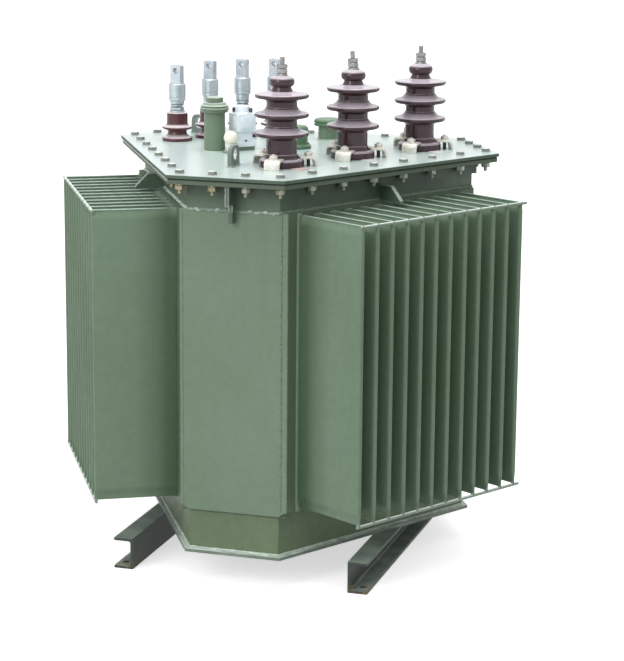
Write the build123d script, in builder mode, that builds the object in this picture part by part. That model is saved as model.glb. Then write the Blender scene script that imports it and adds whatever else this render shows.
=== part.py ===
from build123d import *
from math import cos, radians, sin, sqrt
import os

# Oil-filled power transformer with a three-sided finned tank, in millimetres.
# Origin on the tank axis at floor level, X to the right, Y to the rear, Z up.

# Plan of the finned band: three long finned sides and three short plain corners
fins_per_side = 12
fin_pitch = 50
fin_end_margin = 47
corner_panel_width = 276
wall_thickness = 6

# Heights of the tiers, from the floor up
channel_height = 80
bottom_plate_thickness = 8
skirt_height = 112
band_height = 741
collar_height = 67
rim_thickness = 10
gasket_thickness = 4
cover_thickness = 8

# How far each tier stands in from or out over the tier it meets
skirt_long_inset = 23
panel_lap = 11
panel_lap_margin = 21
bottom_plate_overhang = 14
collar_long_inset = 18
cover_long_overhang = 58
cover_corner_overhang = 62
rim_inset = 4
gasket_inset = 7

# Cooling fins and the rods that tie their noses
fin_depth = 208
fin_thickness = 12
fin_edge_thickness = 3
fin_edge_taper = 18
fin_nose_radius = 5
fin_bottom_gap = 8
fin_top_gap = 14
rod_diameter = 8
rod_overhang = 12
rod_ways = (1, 1, -1)

# Foot channels
channel_length = 822
channel_web_spacing = 566
channel_flange_width = 50
channel_web_thickness = 6
channel_flange_thickness = 7
channel_root_radius = 6
foot_hole_diameter = 18
foot_hole_end_distance = 35
foot_hole_web_distance = 30

# Lifting lugs on the plain corners, hung from the rim
lug_thickness = 10
lug_reach = 48
lug_head_height = 50
lug_leg_width = 20
lug_leg_height = 44

# Gussets between the finned sides and the collar
gusset_thickness = 9
gusset_height = 40
gusset_top_width = 44
gusset_bottom_width = 77
gusset_toe_height = 7

# Lifting eyes on the cover, one towards each plain corner: reach from the axis and shift to the side
eye_thickness = 12
eye_width = 60
eye_height = 52
eye_hole_diameter = 28
eye_hole_height = 30
eye_corner_radius = 12
eye_reaches = (320, 358, 400)
eye_shifts = (-45, 96, -32)

# High-voltage bushings, in a row along the right finned side
hv_count = 3
hv_spacing = 240.5
hv_row_offset = 198.5
hv_row_shift = 29
hv_flange_diameter = 104
hv_flange_chamfer = 5
hv_flange_height = 20
hv_shoulder_diameter = 82
hv_shoulder_height = 12
hv_column_diameter = 75
hv_shed_count = 3
hv_shed_diameter = 133
hv_first_shed_height = 80
hv_shed_spacing = 46.5
hv_shed_rim = 9
hv_shed_rise = 12
hv_top_shed_rise = 4
hv_shed_drop = 5
hv_rim_radius = 4
hv_neck_bottom_diameter = 56
hv_neck_top_diameter = 44
hv_neck_rise = 14
hv_cap_diameter = 62
hv_cap_height = 26
hv_cap_radius = 8
hv_collar_diameter = 31
hv_collar_height = 12
hv_nut_width = 24
hv_nut_height = 16
hv_stud_diameter = 12
hv_stud_length = 46

# Flare of the porcelain sheds, as shares of their width and rise
shed_flare_share = 0.4
shed_flare_rise_share = 0.3

# Clamps that hold the high-voltage flanges down
hv_clamp_count = 3
hv_clamp_turn = -96
hv_clamp_width = 36
hv_clamp_thickness = 5
hv_clamp_flat = 28
hv_clamp_knee_height = 15
hv_clamp_reach = 29
hv_clamp_clearance = 1

# Low-voltage bushings, on an arc along the left rear corner
lv_arc_radius = 297
lv_arc_centre_angle = -148.4
lv_arc_centre_distance = 82.2
lv_arc_angles = (155.5, 134.8, 117.3, 100.2)
lv_terminal_lifts = (0, 6, 8, 10)
lv_base_diameter = 81
lv_base_rim = 10
lv_base_rise = 6
lv_waist_diameter = 50
lv_waist_height = 10
lv_shed_rim = 8
lv_shed_rise = 7
lv_shed_drop = 5
lv_neck_diameter = 56
lv_neck_height = 29
lv_rim_radius = 3.5
lv_washer_diameter = 40
lv_washer_height = 5
lv_nut_width = 33
lv_nut_height = 17
lv_collar_diameter = 37
lv_collar_height = 8
lv_body_diameter = 45
lv_body_height = 46
lv_pad_turn = -104
lv_pad_width = 32
lv_pad_thickness = 18
lv_pad_height = 47
lv_pad_hole_diameter = 13
lv_pad_hole_drop = 14

# Oil filler
filler_angle = -156
filler_distance = 196
filler_pipe_diameter = 54
filler_pipe_height = 100
filler_cap_diameter = 75
filler_cap_height = 18
filler_disc_diameter = 62
filler_disc_height = 7
filler_hex_width = 39
filler_hex_height = 14

# Pressure relief valve
valve_angle = -166.7
valve_distance = 124.8
valve_turn = 44
valve_pad_width = 48
valve_pad_height = 10
valve_flange_width = 52
valve_flange_height = 12
valve_neck_width = 43
valve_neck_height = 27
valve_block_width = 54
valve_block_height = 44
valve_cap_diameter = 37
valve_cap_height = 20
valve_pin_diameter = 10
valve_pin_length = 54

# Vent plug
plug_angle = -142.9
plug_distance = 162
plug_foot_diameter = 42
plug_foot_height = 6
plug_neck_diameter = 14
plug_neck_height = 21
plug_head_diameter = 36
plug_head_height = 28
plug_head_radius = 8

# Tap changer hood
tap_angle = 90
tap_distance = 47
tap_flange_diameter = 78
tap_flange_height = 8
tap_hood_diameter = 60
tap_hood_height = 50
tap_hood_radius = 8

# Thermometer well
well_angle = 82.7
well_distance = 239
well_pipe_diameter = 54
well_pipe_height = 37
well_cap_diameter = 77
well_cap_height = 18.5
well_cap_radius = 3

# Directions in plan: the long sides and the plain corners alternate round the axis
sides = 6
full_turn = 360
quarter_turn = 90
side_step = full_turn / sides
first_side_angle = -90
hex_sides = 6
front_side, right_side, right_rear_side, rear_side, left_rear_side, left_side = range(sides)
long_sides = {"right": right_side, "rear": rear_side, "left": left_side}
corner_sides = {"front": front_side, "right": right_rear_side, "left": left_rear_side}

# Plan sizes worked out from the finned band
fin_row = (fins_per_side - 1) * fin_pitch
band_long_half = fin_row / 2 + fin_end_margin
band_corner_half = corner_panel_width / 2
band_long = (band_long_half + 2 * band_corner_half) / sqrt(3)
band_corner = (2 * band_long_half + band_corner_half) / sqrt(3)
collar_long = band_long - collar_long_inset
skirt_long = band_long - skirt_long_inset
skirt_corner = band_corner - wall_thickness

# Heights worked out from the tiers
skirt_base = channel_height + bottom_plate_thickness
band_base = skirt_base + skirt_height
collar_base = band_base + band_height
rim_base = collar_base + collar_height
gasket_base = rim_base + rim_thickness
cover_base = gasket_base + gasket_thickness
cover_top = cover_base + cover_thickness


def side_angle(side):
    return first_side_angle + side_step * side


def outward(angle):
    return Vector(cos(radians(angle)), sin(radians(angle)), 0)


def along(angle):
    return outward(angle + quarter_turn)


# Six corner points of a tier, from its distances to the long sides and to the corners
def tier_corners(long_distance, corner_distance):
    distances = [corner_distance, long_distance] * (sides // 2)
    points = []
    for side in range(sides):
        near = distances[side]
        far = distances[(side + 1) % sides]
        run = (far - near * cos(radians(side_step))) / sin(radians(side_step))
        point = outward(side_angle(side)) * near + along(side_angle(side)) * run
        points.append((point.X, point.Y))
    return points


# Upright plane on a side: local X runs along the side, Y is up, Z points outward
def side_plane(side, distance):
    angle = side_angle(side)
    return Plane(origin=outward(angle) * distance, x_dir=along(angle), z_dir=outward(angle))


# Upright plane through the axis: local X points outward at this angle, Y is up
def radial_plane(angle):
    return Plane(origin=(0, 0, 0), x_dir=outward(angle), z_dir=along(angle) * -1)


# Level plane on the cover at an angle and distance from the axis
def cover_plane(angle, distance, turn=0):
    spot = outward(angle) * distance
    return Plane(origin=(spot.X, spot.Y, cover_top), x_dir=outward(turn), z_dir=(0, 0, 1))


# Upright plane through the middle of a level plane, for turned profiles
def profile_plane(level):
    return Plane(origin=level.origin, x_dir=level.x_dir, z_dir=level.y_dir * -1)


def upright_axis(level):
    return Axis(level.origin, (0, 0, 1))


def keep(part, name):
    part.label = name
    export_step(part, f"parts/{name}.step")


os.makedirs("parts", exist_ok=True)

# Foot channels, backs towards the axis, holed in the lower flanges
hole_x = channel_web_spacing / 2 + foot_hole_web_distance
hole_y = channel_length / 2 - foot_hole_end_distance
for name, hand in (("left_foot_channel", -1), ("right_foot_channel", 1)):
    with BuildPart() as foot_channel:
        with BuildSketch(Plane.XZ):
            back = channel_web_spacing / 2
            face = back + channel_web_thickness
            tip = back + channel_flange_width
            lower = channel_flange_thickness
            upper = channel_height - channel_flange_thickness
            outline = [
                (back, 0), (tip, 0), (tip, lower), (face, lower),
                (face, upper), (tip, upper), (tip, channel_height), (back, channel_height),
            ]
            Polygon(*[(hand * x, z) for x, z in outline], align=None)
        extrude(amount=channel_length / 2, both=True)
        roots = foot_channel.edges().filter_by(Axis.Y)
        roots = [edge for edge in roots if abs(abs(edge.center().X) - face) < channel_web_thickness / 2]
        fillet(roots, channel_root_radius)
        with Locations(*[(hand * hole_x, y, lower) for y in (-hole_y, hole_y)]):
            Hole(foot_hole_diameter / 2, depth=lower)
    keep(foot_channel.part, name)

# Bottom plate
with BuildPart() as bottom_plate:
    with BuildSketch(Plane.XY.offset(channel_height)):
        corners = tier_corners(skirt_long + bottom_plate_overhang, skirt_corner + bottom_plate_overhang)
        Polygon(*corners, align=None)
    extrude(amount=bottom_plate_thickness)
keep(bottom_plate.part, "bottom_plate")


# A closed ring between two tier outlines
def tier_ring(outer, inner, base, height):
    with BuildPart() as ring:
        with BuildSketch(Plane.XY.offset(base)):
            Polygon(*outer, align=None)
            Polygon(*inner, align=None, mode=Mode.SUBTRACT)
        extrude(amount=height)
    return ring.part


# Plain base skirt and upper collar of the tank
skirt_outer = tier_corners(skirt_long, skirt_corner)
skirt_inner = tier_corners(skirt_long - wall_thickness, skirt_corner - wall_thickness)
keep(tier_ring(skirt_outer, skirt_inner, skirt_base, skirt_height), "base_skirt")
collar_outer = tier_corners(collar_long, band_corner)
collar_inner = tier_corners(collar_long - wall_thickness, band_corner - wall_thickness)
keep(tier_ring(collar_outer, collar_inner, collar_base, collar_height), "upper_collar")

# Rim flange, gasket and cover
cover_long = collar_long + cover_long_overhang
cover_corner = band_corner + cover_corner_overhang
rim_outer = tier_corners(cover_long - rim_inset, cover_corner - rim_inset)
keep(tier_ring(rim_outer, collar_inner, rim_base, rim_thickness), "rim_flange")
gasket_outer = tier_corners(cover_long - gasket_inset, cover_corner - gasket_inset)
keep(tier_ring(gasket_outer, collar_outer, gasket_base, gasket_thickness), "cover_gasket")
with BuildPart() as cover_plate:
    with BuildSketch(Plane.XY.offset(cover_base)):
        Polygon(*tier_corners(cover_long, cover_corner), align=None)
    extrude(amount=cover_thickness)
keep(cover_plate.part, "cover_plate")

# Plain corner panels of the band, mitred to the fin walls and lapped over the skirt
band_outer = tier_corners(band_long, band_corner)
band_inner = tier_corners(band_long - wall_thickness, band_corner - wall_thickness)
for place, side in corner_sides.items():
    with BuildPart() as corner_panel:
        with BuildSketch(Plane.XY.offset(band_base)):
            strip = [band_outer[side - 1], band_outer[side], band_inner[side], band_inner[side - 1]]
            Polygon(*strip, align=None)
        extrude(amount=band_height)
        with BuildSketch(side_plane(side, skirt_corner)):
            lap_top = band_corner_half - wall_thickness
            lap_foot = band_corner_half - panel_lap_margin
            lap_base = band_base - panel_lap
            outline = [
                (-lap_top, band_base), (-lap_foot, lap_base), (lap_foot, lap_base), (lap_top, band_base),
            ]
            Polygon(*outline, align=None)
        extrude(amount=wall_thickness)
    keep(corner_panel.part, f"{place}_corner_panel")

# Fin walls, turned in at the foot to the skirt and at the head to the collar
foot_lip = tier_corners(skirt_long - wall_thickness, band_corner - wall_thickness)
head_lip = tier_corners(collar_long - wall_thickness, band_corner - wall_thickness)
for place, side in long_sides.items():
    with BuildPart() as fin_wall:
        with BuildSketch(Plane.XY.offset(band_base)):
            strip = [band_outer[side - 1], band_outer[side], band_inner[side], band_inner[side - 1]]
            Polygon(*strip, align=None)
        extrude(amount=band_height)
        for lip, base in ((foot_lip, band_base), (head_lip, collar_base - wall_thickness)):
            with BuildSketch(Plane.XY.offset(base)):
                strip = [
                    band_outer[side - 1], band_outer[side], band_inner[side],
                    lip[side], lip[side - 1], band_inner[side - 1],
                ]
                Polygon(*strip, align=None)
            extrude(amount=wall_thickness)
    keep(fin_wall.part, f"{place}_fin_wall")

# Cooling fins, pinched shut along their heads and feet and rounded at the nose
fin_foot = band_base + fin_bottom_gap
fin_head = collar_base - fin_top_gap
for place, side in long_sides.items():
    with BuildPart() as cooling_fins:
        with BuildSketch(side_plane(side, band_long)):
            full = fin_thickness / 2
            edge = fin_edge_thickness / 2
            right_half = [
                (edge, fin_foot), (full, fin_foot + fin_edge_taper),
                (full, fin_head - fin_edge_taper), (edge, fin_head),
            ]
            left_half = [(-x, z) for x, z in reversed(right_half)]
            with GridLocations(fin_pitch, fin_pitch, fins_per_side, 1):
                Polygon(*right_half, *left_half, align=None)
        extrude(amount=fin_depth)
        nose_line = Axis((0, 0, 0), outward(side_angle(side)))
        noses = cooling_fins.edges().filter_by(Axis.Z).group_by(nose_line)[-1]
        fillet(noses, fin_nose_radius)
    keep(cooling_fins.part, f"{place}_cooling_fins")

# Rods along the heads and feet of the fin noses
with BuildPart() as fin_tie_rods:
    rod_reach = band_long + fin_depth - rod_diameter / 2
    rod_half = (fin_row + fin_thickness + rod_overhang) / 2
    for side, way in zip(long_sides.values(), rod_ways):
        with BuildSketch(radial_plane(side_angle(side)).offset(-way * rod_overhang / 2)):
            with Locations(
                (rod_reach, fin_foot - rod_diameter / 2),
                (rod_reach, fin_head + rod_diameter / 2),
            ):
                Circle(rod_diameter / 2)
        extrude(amount=rod_half, both=True)
keep(fin_tie_rods.part, "fin_tie_rods")

# Lifting lugs on the plain corners, welded to the collar and up under the rim
with BuildPart() as lifting_lugs:
    lug_head_foot = rim_base - lug_head_height
    lug_foot = lug_head_foot - lug_leg_height
    for side in corner_sides.values():
        with BuildSketch(radial_plane(side_angle(side))):
            outline = [
                (band_corner, lug_foot),
                (band_corner + lug_leg_width, lug_foot),
                (band_corner + lug_leg_width, lug_head_foot),
                (band_corner + lug_reach, lug_head_foot),
                (band_corner + lug_reach, rim_base),
                (band_corner, rim_base),
            ]
            Polygon(*outline, align=None)
        extrude(amount=lug_thickness / 2, both=True)
keep(lifting_lugs.part, "lifting_lugs")

# Gussets from the head of each fin wall to the collar
with BuildPart() as collar_gussets:
    for side in long_sides.values():
        with BuildSketch(radial_plane(side_angle(side))):
            outline = [
                (collar_long, collar_base),
                (collar_long + gusset_bottom_width, collar_base),
                (collar_long + gusset_bottom_width, collar_base + gusset_toe_height),
                (collar_long + gusset_top_width, collar_base + gusset_height),
                (collar_long, collar_base + gusset_height),
            ]
            Polygon(*outline, align=None)
        extrude(amount=gusset_thickness / 2, both=True)
keep(collar_gussets.part, "collar_gussets")

# Lifting eyes standing on the cover
with BuildPart() as lifting_eyes:
    for side, reach, shift in zip(corner_sides.values(), eye_reaches, eye_shifts):
        with BuildSketch(radial_plane(side_angle(side)).offset(-shift)) as eye:
            with Locations((reach, cover_top)):
                Rectangle(eye_width, eye_height, align=(Align.CENTER, Align.MIN))
            fillet(eye.vertices().group_by(Axis.Z)[-1], eye_corner_radius)
            with Locations((reach, cover_top + eye_hole_height)):
                Circle(eye_hole_diameter / 2, mode=Mode.SUBTRACT)
        extrude(amount=eye_thickness / 2, both=True)
keep(lifting_eyes.part, "lifting_eyes")


# Level planes under the bushings
def hv_plane(index):
    row_angle = side_angle(right_side)
    step = (index - (hv_count - 1) / 2) * hv_spacing + hv_row_shift
    spot = outward(row_angle) * hv_row_offset + along(row_angle) * step
    return Plane(origin=(spot.X, spot.Y, cover_top), x_dir=outward(hv_clamp_turn), z_dir=(0, 0, 1))


def lv_plane(index):
    centre = outward(lv_arc_centre_angle) * lv_arc_centre_distance
    spot = centre + outward(lv_arc_angles[index]) * lv_arc_radius
    return Plane(origin=(spot.X, spot.Y, cover_top), x_dir=(1, 0, 0), z_dir=(0, 0, 1))


# Half profile of one porcelain shed on a column, from its foot to its head, flared on top
def shed_profile(column, rim_radius, height, rim, rise, drop):
    flare = column + (rim_radius - column) * shed_flare_share
    return [
        (column, height - rim / 2 - drop), (rim_radius, height - rim / 2),
        (rim_radius, height + rim / 2), (flare, height + rim / 2 + rise * shed_flare_rise_share),
        (column, height + rim / 2 + rise),
    ]


# High-voltage bushings: round foot, column with sheds, neck and cap
hv_shoulder = hv_flange_height + hv_shoulder_height
hv_top_shed_height = hv_first_shed_height + (hv_shed_count - 1) * hv_shed_spacing
hv_neck_foot = hv_top_shed_height + hv_shed_rim / 2 + hv_top_shed_rise
hv_cap_base = hv_neck_foot + hv_neck_rise
hv_cap_top = hv_cap_base + hv_cap_height
for index in range(hv_count):
    level = hv_plane(index)
    with BuildPart() as hv_bushing:
        with BuildSketch(profile_plane(level)) as turned:
            column = hv_column_diameter / 2
            rim_radius = hv_shed_diameter / 2
            flange = hv_flange_diameter / 2
            profile = [
                (0, 0), (flange, 0), (flange, hv_flange_height - hv_flange_chamfer),
                (flange - hv_flange_chamfer, hv_flange_height),
                (hv_shoulder_diameter / 2, hv_flange_height), (column, hv_shoulder),
            ]
            for shed in range(hv_shed_count):
                height = hv_first_shed_height + shed * hv_shed_spacing
                profile += shed_profile(column, rim_radius, height, hv_shed_rim, hv_shed_rise, hv_shed_drop)
            del profile[-2:]
            profile.append((hv_neck_bottom_diameter / 2, hv_neck_foot))
            profile.append((hv_neck_top_diameter / 2, hv_cap_base))
            profile.append((hv_cap_diameter / 2, hv_cap_base))
            profile.append((hv_cap_diameter / 2, hv_cap_top))
            profile.append((0, hv_cap_top))
            Polygon(*profile, align=None)
        revolve(axis=upright_axis(level))
        rims = hv_bushing.edges().filter_by(GeomType.CIRCLE)
        fillet([edge for edge in rims if abs(edge.radius - rim_radius) < hv_rim_radius], hv_rim_radius)
        cap_edge = hv_bushing.edges().filter_by(GeomType.CIRCLE).sort_by(Axis.Z)[-1]
        fillet(cap_edge, hv_cap_radius)
    keep(hv_bushing.part, f"hv_bushing_{index + 1}")

# High-voltage terminals: collar, nut and the free end of the stud
for index in range(hv_count):
    level = hv_plane(index).offset(hv_cap_top)
    with BuildPart() as hv_terminal:
        with BuildSketch(level):
            Circle(hv_collar_diameter / 2)
        extrude(amount=hv_collar_height)
        with BuildSketch(level.offset(hv_collar_height)):
            RegularPolygon(hv_nut_width / 2, hex_sides, major_radius=False)
        extrude(amount=hv_nut_height)
        with BuildSketch(level):
            Circle(hv_stud_diameter / 2)
        extrude(amount=hv_stud_length)
    keep(hv_terminal.part, f"hv_terminal_{index + 1}")

# Clamps spaced round the high-voltage feet
with BuildPart() as hv_clamps:
    inner_reach = hv_shoulder_diameter / 2 + hv_clamp_clearance
    outer_reach = hv_flange_diameter / 2 + hv_clamp_reach
    leg_reach = outer_reach - hv_clamp_thickness
    clamp_top = hv_flange_height + hv_clamp_thickness
    bend_reach = inner_reach + hv_clamp_flat
    knee_under = hv_clamp_knee_height - hv_clamp_thickness / 2
    outline = [
        (inner_reach, hv_flange_height), (bend_reach, hv_flange_height), (leg_reach, knee_under),
        (leg_reach, 0), (outer_reach, 0),
        (outer_reach, hv_clamp_knee_height), (bend_reach, clamp_top), (inner_reach, clamp_top),
    ]
    for index in range(hv_count):
        for clamp in range(hv_clamp_count):
            level = hv_plane(index)
            turn = hv_clamp_turn + clamp * full_turn / hv_clamp_count
            spun = Plane(origin=level.origin, x_dir=outward(turn), z_dir=along(turn) * -1)
            with BuildSketch(spun):
                Polygon(*outline, align=None)
            extrude(amount=hv_clamp_width / 2, both=True)
keep(hv_clamps.part, "hv_clamps")

# Low-voltage bushings: base shed, waist, upper shed and neck
lv_waist_foot = lv_base_rim + lv_base_rise
lv_shed_height = lv_waist_foot + lv_waist_height + lv_shed_drop + lv_shed_rim / 2
lv_neck_foot = lv_shed_height + lv_shed_rim / 2 + lv_shed_rise
lv_neck_top = lv_neck_foot + lv_neck_height
for index in range(len(lv_arc_angles)):
    level = lv_plane(index)
    with BuildPart() as lv_bushing:
        with BuildSketch(profile_plane(level)):
            rim_radius = lv_base_diameter / 2
            waist = lv_waist_diameter / 2
            neck = lv_neck_diameter / 2
            upper_shed = shed_profile(
                waist, rim_radius, lv_shed_height, lv_shed_rim, lv_shed_rise, lv_shed_drop
            )
            profile = [(0, 0), (rim_radius, 0), (rim_radius, lv_base_rim), (waist, lv_waist_foot)]
            profile.extend(upper_shed[:-1])
            profile.extend([(neck, lv_neck_foot), (neck, lv_neck_top), (0, lv_neck_top)])
            Polygon(*profile, align=None)
        revolve(axis=upright_axis(level))
        rims = lv_bushing.edges().filter_by(GeomType.CIRCLE).sort_by(Axis.Z)
        rims = [edge for edge in rims if abs(edge.radius - rim_radius) < lv_rim_radius]
        fillet(rims[1:], lv_rim_radius)
    keep(lv_bushing.part, f"lv_bushing_{index + 1}")

# Low-voltage terminals: nuts, round clamp body and a flat pad with a bolt hole
for index, lift in enumerate(lv_terminal_lifts):
    level = lv_plane(index).offset(lv_neck_top)
    nut_base = lv_washer_height
    collar_foot = nut_base + lv_nut_height
    body_base = collar_foot + lv_collar_height + lift
    pad_base = body_base + lv_body_height
    pad_top = pad_base + lv_pad_height
    with BuildPart() as lv_terminal:
        with BuildSketch(level):
            Circle(lv_washer_diameter / 2)
        extrude(amount=lv_washer_height)
        with BuildSketch(level.offset(nut_base)):
            RegularPolygon(lv_nut_width / 2, hex_sides, major_radius=False)
        extrude(amount=lv_nut_height)
        with BuildSketch(level.offset(collar_foot)):
            Circle(lv_collar_diameter / 2)
        extrude(amount=lv_collar_height + lift)
        with BuildSketch(level.offset(body_base)):
            Circle(lv_body_diameter / 2)
        extrude(amount=lv_body_height)
        face = Plane(origin=level.origin, x_dir=along(lv_pad_turn), z_dir=outward(lv_pad_turn))
        with BuildSketch(face):
            with Locations((0, pad_base)):
                Rectangle(lv_pad_width, lv_pad_height, align=(Align.CENTER, Align.MIN))
            with Locations((0, pad_top - lv_pad_hole_drop)):
                Circle(lv_pad_hole_diameter / 2, mode=Mode.SUBTRACT)
        extrude(amount=lv_pad_thickness / 2, both=True)
    keep(lv_terminal.part, f"lv_terminal_{index + 1}")

# Oil filler pipe and its screwed cap
filler_level = cover_plane(filler_angle, filler_distance)
with BuildPart() as oil_filler_pipe:
    with BuildSketch(filler_level):
        Circle(filler_pipe_diameter / 2)
    extrude(amount=filler_pipe_height)
keep(oil_filler_pipe.part, "oil_filler_pipe")
with BuildPart() as oil_filler_cap:
    cap_level = filler_level.offset(filler_pipe_height)
    with BuildSketch(cap_level):
        Circle(filler_cap_diameter / 2)
    extrude(amount=filler_cap_height)
    with BuildSketch(cap_level.offset(filler_cap_height)):
        Circle(filler_disc_diameter / 2)
    extrude(amount=filler_disc_height)
    with BuildSketch(cap_level.offset(filler_cap_height + filler_disc_height)):
        RegularPolygon(filler_hex_width / 2, hex_sides, major_radius=False)
    extrude(amount=filler_hex_height)
keep(oil_filler_cap.part, "oil_filler_cap")

# Pressure relief valve on its welded pad
valve_level = cover_plane(valve_angle, valve_distance, valve_turn)
with BuildPart() as valve_pad:
    with BuildSketch(valve_level):
        Rectangle(valve_pad_width, valve_pad_width)
    extrude(amount=valve_pad_height)
keep(valve_pad.part, "valve_pad")
with BuildPart() as pressure_relief_valve:
    height = valve_pad_height
    for width, rise in (
        (valve_flange_width, valve_flange_height),
        (valve_neck_width, valve_neck_height),
        (valve_block_width, valve_block_height),
    ):
        with BuildSketch(valve_level.offset(height)):
            Rectangle(width, width)
        extrude(amount=rise)
        height += rise
    with BuildSketch(valve_level.offset(height)):
        Circle(valve_cap_diameter / 2)
    extrude(amount=valve_cap_height)
    with BuildSketch(Plane(origin=valve_level.origin, x_dir=(0, 1, 0), z_dir=(1, 0, 0))):
        with Locations((0, height + valve_cap_height / 2)):
            Circle(valve_pin_diameter / 2)
    extrude(amount=valve_pin_length / 2, both=True)
keep(pressure_relief_valve.part, "pressure_relief_valve")

# Vent plug: small foot, thin neck and rounded head
plug_level = cover_plane(plug_angle, plug_distance)
with BuildPart() as vent_plug:
    with BuildSketch(plug_level):
        Circle(plug_foot_diameter / 2)
    extrude(amount=plug_foot_height)
    with BuildSketch(plug_level.offset(plug_foot_height)):
        Circle(plug_neck_diameter / 2)
    extrude(amount=plug_neck_height)
    with BuildSketch(plug_level.offset(plug_foot_height + plug_neck_height)):
        Circle(plug_head_diameter / 2)
    extrude(amount=plug_head_height)
    fillet(vent_plug.edges().filter_by(GeomType.CIRCLE).sort_by(Axis.Z)[-1], plug_head_radius)
keep(vent_plug.part, "vent_plug")

# Tap changer hood on its flange
tap_level = cover_plane(tap_angle, tap_distance)
with BuildPart() as tap_changer_hood:
    with BuildSketch(tap_level):
        Circle(tap_flange_diameter / 2)
    extrude(amount=tap_flange_height)
    with BuildSketch(tap_level.offset(tap_flange_height)):
        Circle(tap_hood_diameter / 2)
    extrude(amount=tap_hood_height)
    fillet(tap_changer_hood.edges().filter_by(GeomType.CIRCLE).sort_by(Axis.Z)[-1], tap_hood_radius)
keep(tap_changer_hood.part, "tap_changer_hood")

# Thermometer well with its cap
well_level = cover_plane(well_angle, well_distance)
with BuildPart() as thermometer_well:
    with BuildSketch(well_level):
        Circle(well_pipe_diameter / 2)
    extrude(amount=well_pipe_height)
keep(thermometer_well.part, "thermometer_well")
with BuildPart() as thermometer_cap:
    with BuildSketch(well_level.offset(well_pipe_height)):
        Circle(well_cap_diameter / 2)
    extrude(amount=well_cap_height)
    fillet(thermometer_cap.edges().filter_by(GeomType.CIRCLE).sort_by(Axis.Z)[-1], well_cap_radius)
keep(thermometer_cap.part, "thermometer_cap")
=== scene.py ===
import math
import bmesh
import bpy
from mathutils import Matrix, Vector


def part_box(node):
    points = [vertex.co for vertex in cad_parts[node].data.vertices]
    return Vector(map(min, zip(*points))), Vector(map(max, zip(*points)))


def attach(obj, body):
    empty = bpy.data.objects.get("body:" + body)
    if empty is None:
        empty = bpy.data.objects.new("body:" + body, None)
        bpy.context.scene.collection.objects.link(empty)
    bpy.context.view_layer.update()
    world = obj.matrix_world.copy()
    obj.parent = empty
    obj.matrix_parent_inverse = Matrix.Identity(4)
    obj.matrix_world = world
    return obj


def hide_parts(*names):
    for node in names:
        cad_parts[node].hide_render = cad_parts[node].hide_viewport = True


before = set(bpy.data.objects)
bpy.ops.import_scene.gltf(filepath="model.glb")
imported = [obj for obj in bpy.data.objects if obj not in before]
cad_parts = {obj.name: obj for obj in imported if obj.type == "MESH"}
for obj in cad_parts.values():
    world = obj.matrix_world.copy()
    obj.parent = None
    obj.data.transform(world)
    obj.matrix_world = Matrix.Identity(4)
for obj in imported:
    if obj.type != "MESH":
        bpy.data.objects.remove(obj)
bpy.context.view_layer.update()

scene = bpy.context.scene
scene.view_settings.view_transform = "Standard"
print("frame loaded:", len(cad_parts), "nodes")


# Tank plan, read from the frame: the rear side is finned and the front side is plain
def reach(finnedNode, plainNode):
    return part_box(finnedNode)[1].y, -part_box(plainNode)[0].y


def middle(node, share=0.0):
    low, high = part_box(node)
    return Vector(((low.x + high.x) / 2, (low.y + high.y) / 2, low.z + (high.z - low.z) * share))


band = reach("rear_fin_wall", "front_corner_panel")
collar = reach("upper_collar", "upper_collar")
skirt = reach("base_skirt", "base_skirt")
cover = reach("cover_plate", "cover_plate")
rim = reach("rim_flange", "rim_flange")
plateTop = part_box("bottom_plate")[1].z
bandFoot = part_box("rear_fin_wall")[0].z
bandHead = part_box("rear_fin_wall")[1].z
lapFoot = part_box("front_corner_panel")[0].z
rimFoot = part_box("rim_flange")[0].z
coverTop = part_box("cover_plate")[1].z
finnedSides = {"right": -30, "rear": 90, "left": 210}
plainSides = {"front": -90, "right": 30, "left": 150}


def outward(angle):
    return Vector((math.cos(math.radians(angle)), math.sin(math.radians(angle)), 0))


def upBy(height):
    return Vector((0, 0, height))


def tierCorners(reaches, z):
    finned, plain = reaches
    return sideCorners([plain, finned] * 3, z)


# Corners from one distance to a side, front first and then to the right
def sideCorners(distances, z):
    corners = []
    for side in range(6):
        near = distances[side]
        far = distances[(side + 1) % 6]
        run = (far - near * math.cos(math.radians(60))) / math.sin(math.radians(60))
        angle = 60 * side - 90
        corners.append(outward(angle) * near + outward(angle + 90) * run + upBy(z))
    return corners


# Camera
viewpoint = {
    "place": (1.6969, -5.3709, 1.8026),
    "forward": (-0.2844, 0.9340, -0.2162),
    "roll": 0.483,
    "lens": 120.0,
    "sensor": 36.0,
}


def addCamera():
    forward = Vector(viewpoint["forward"]).normalized()
    right = forward.cross(upBy(1)).normalized()
    up = right.cross(forward)
    roll = math.radians(viewpoint["roll"])
    tiltedRight = right * math.cos(roll) + up * math.sin(roll)
    tiltedUp = up * math.cos(roll) - right * math.sin(roll)
    turn = Matrix((tiltedRight, tiltedUp, -forward)).transposed().to_4x4()
    camera = bpy.data.objects.new("viewCamera", bpy.data.cameras.new("viewCamera"))
    camera.data.lens = viewpoint["lens"]
    camera.data.sensor_width = viewpoint["sensor"]
    camera.matrix_world = Matrix.Translation(viewpoint["place"]) @ turn
    scene.collection.objects.link(camera)
    scene.camera = camera


addCamera()
print("camera placed")


# Node helpers: a value or another node's socket goes into each input that is named
def addNode(tree, kind, inputs=None, **settings):
    node = tree.nodes.new(kind)
    for key, value in settings.items():
        setattr(node, key, value)
    for key, source in (inputs or {}).items():
        feed(tree, node.inputs[key], source)
    return node


def feed(tree, socket, source):
    if isinstance(source, bpy.types.NodeSocket):
        tree.links.new(source, socket)
    else:
        socket.default_value = source


def sums(tree, operation, first, second=0.0, third=0.0):
    node = addNode(tree, "ShaderNodeMath", operation=operation)
    for socket, source in zip(node.inputs, (first, second, third)):
        feed(tree, socket, source)
    return node.outputs[0]


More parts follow.
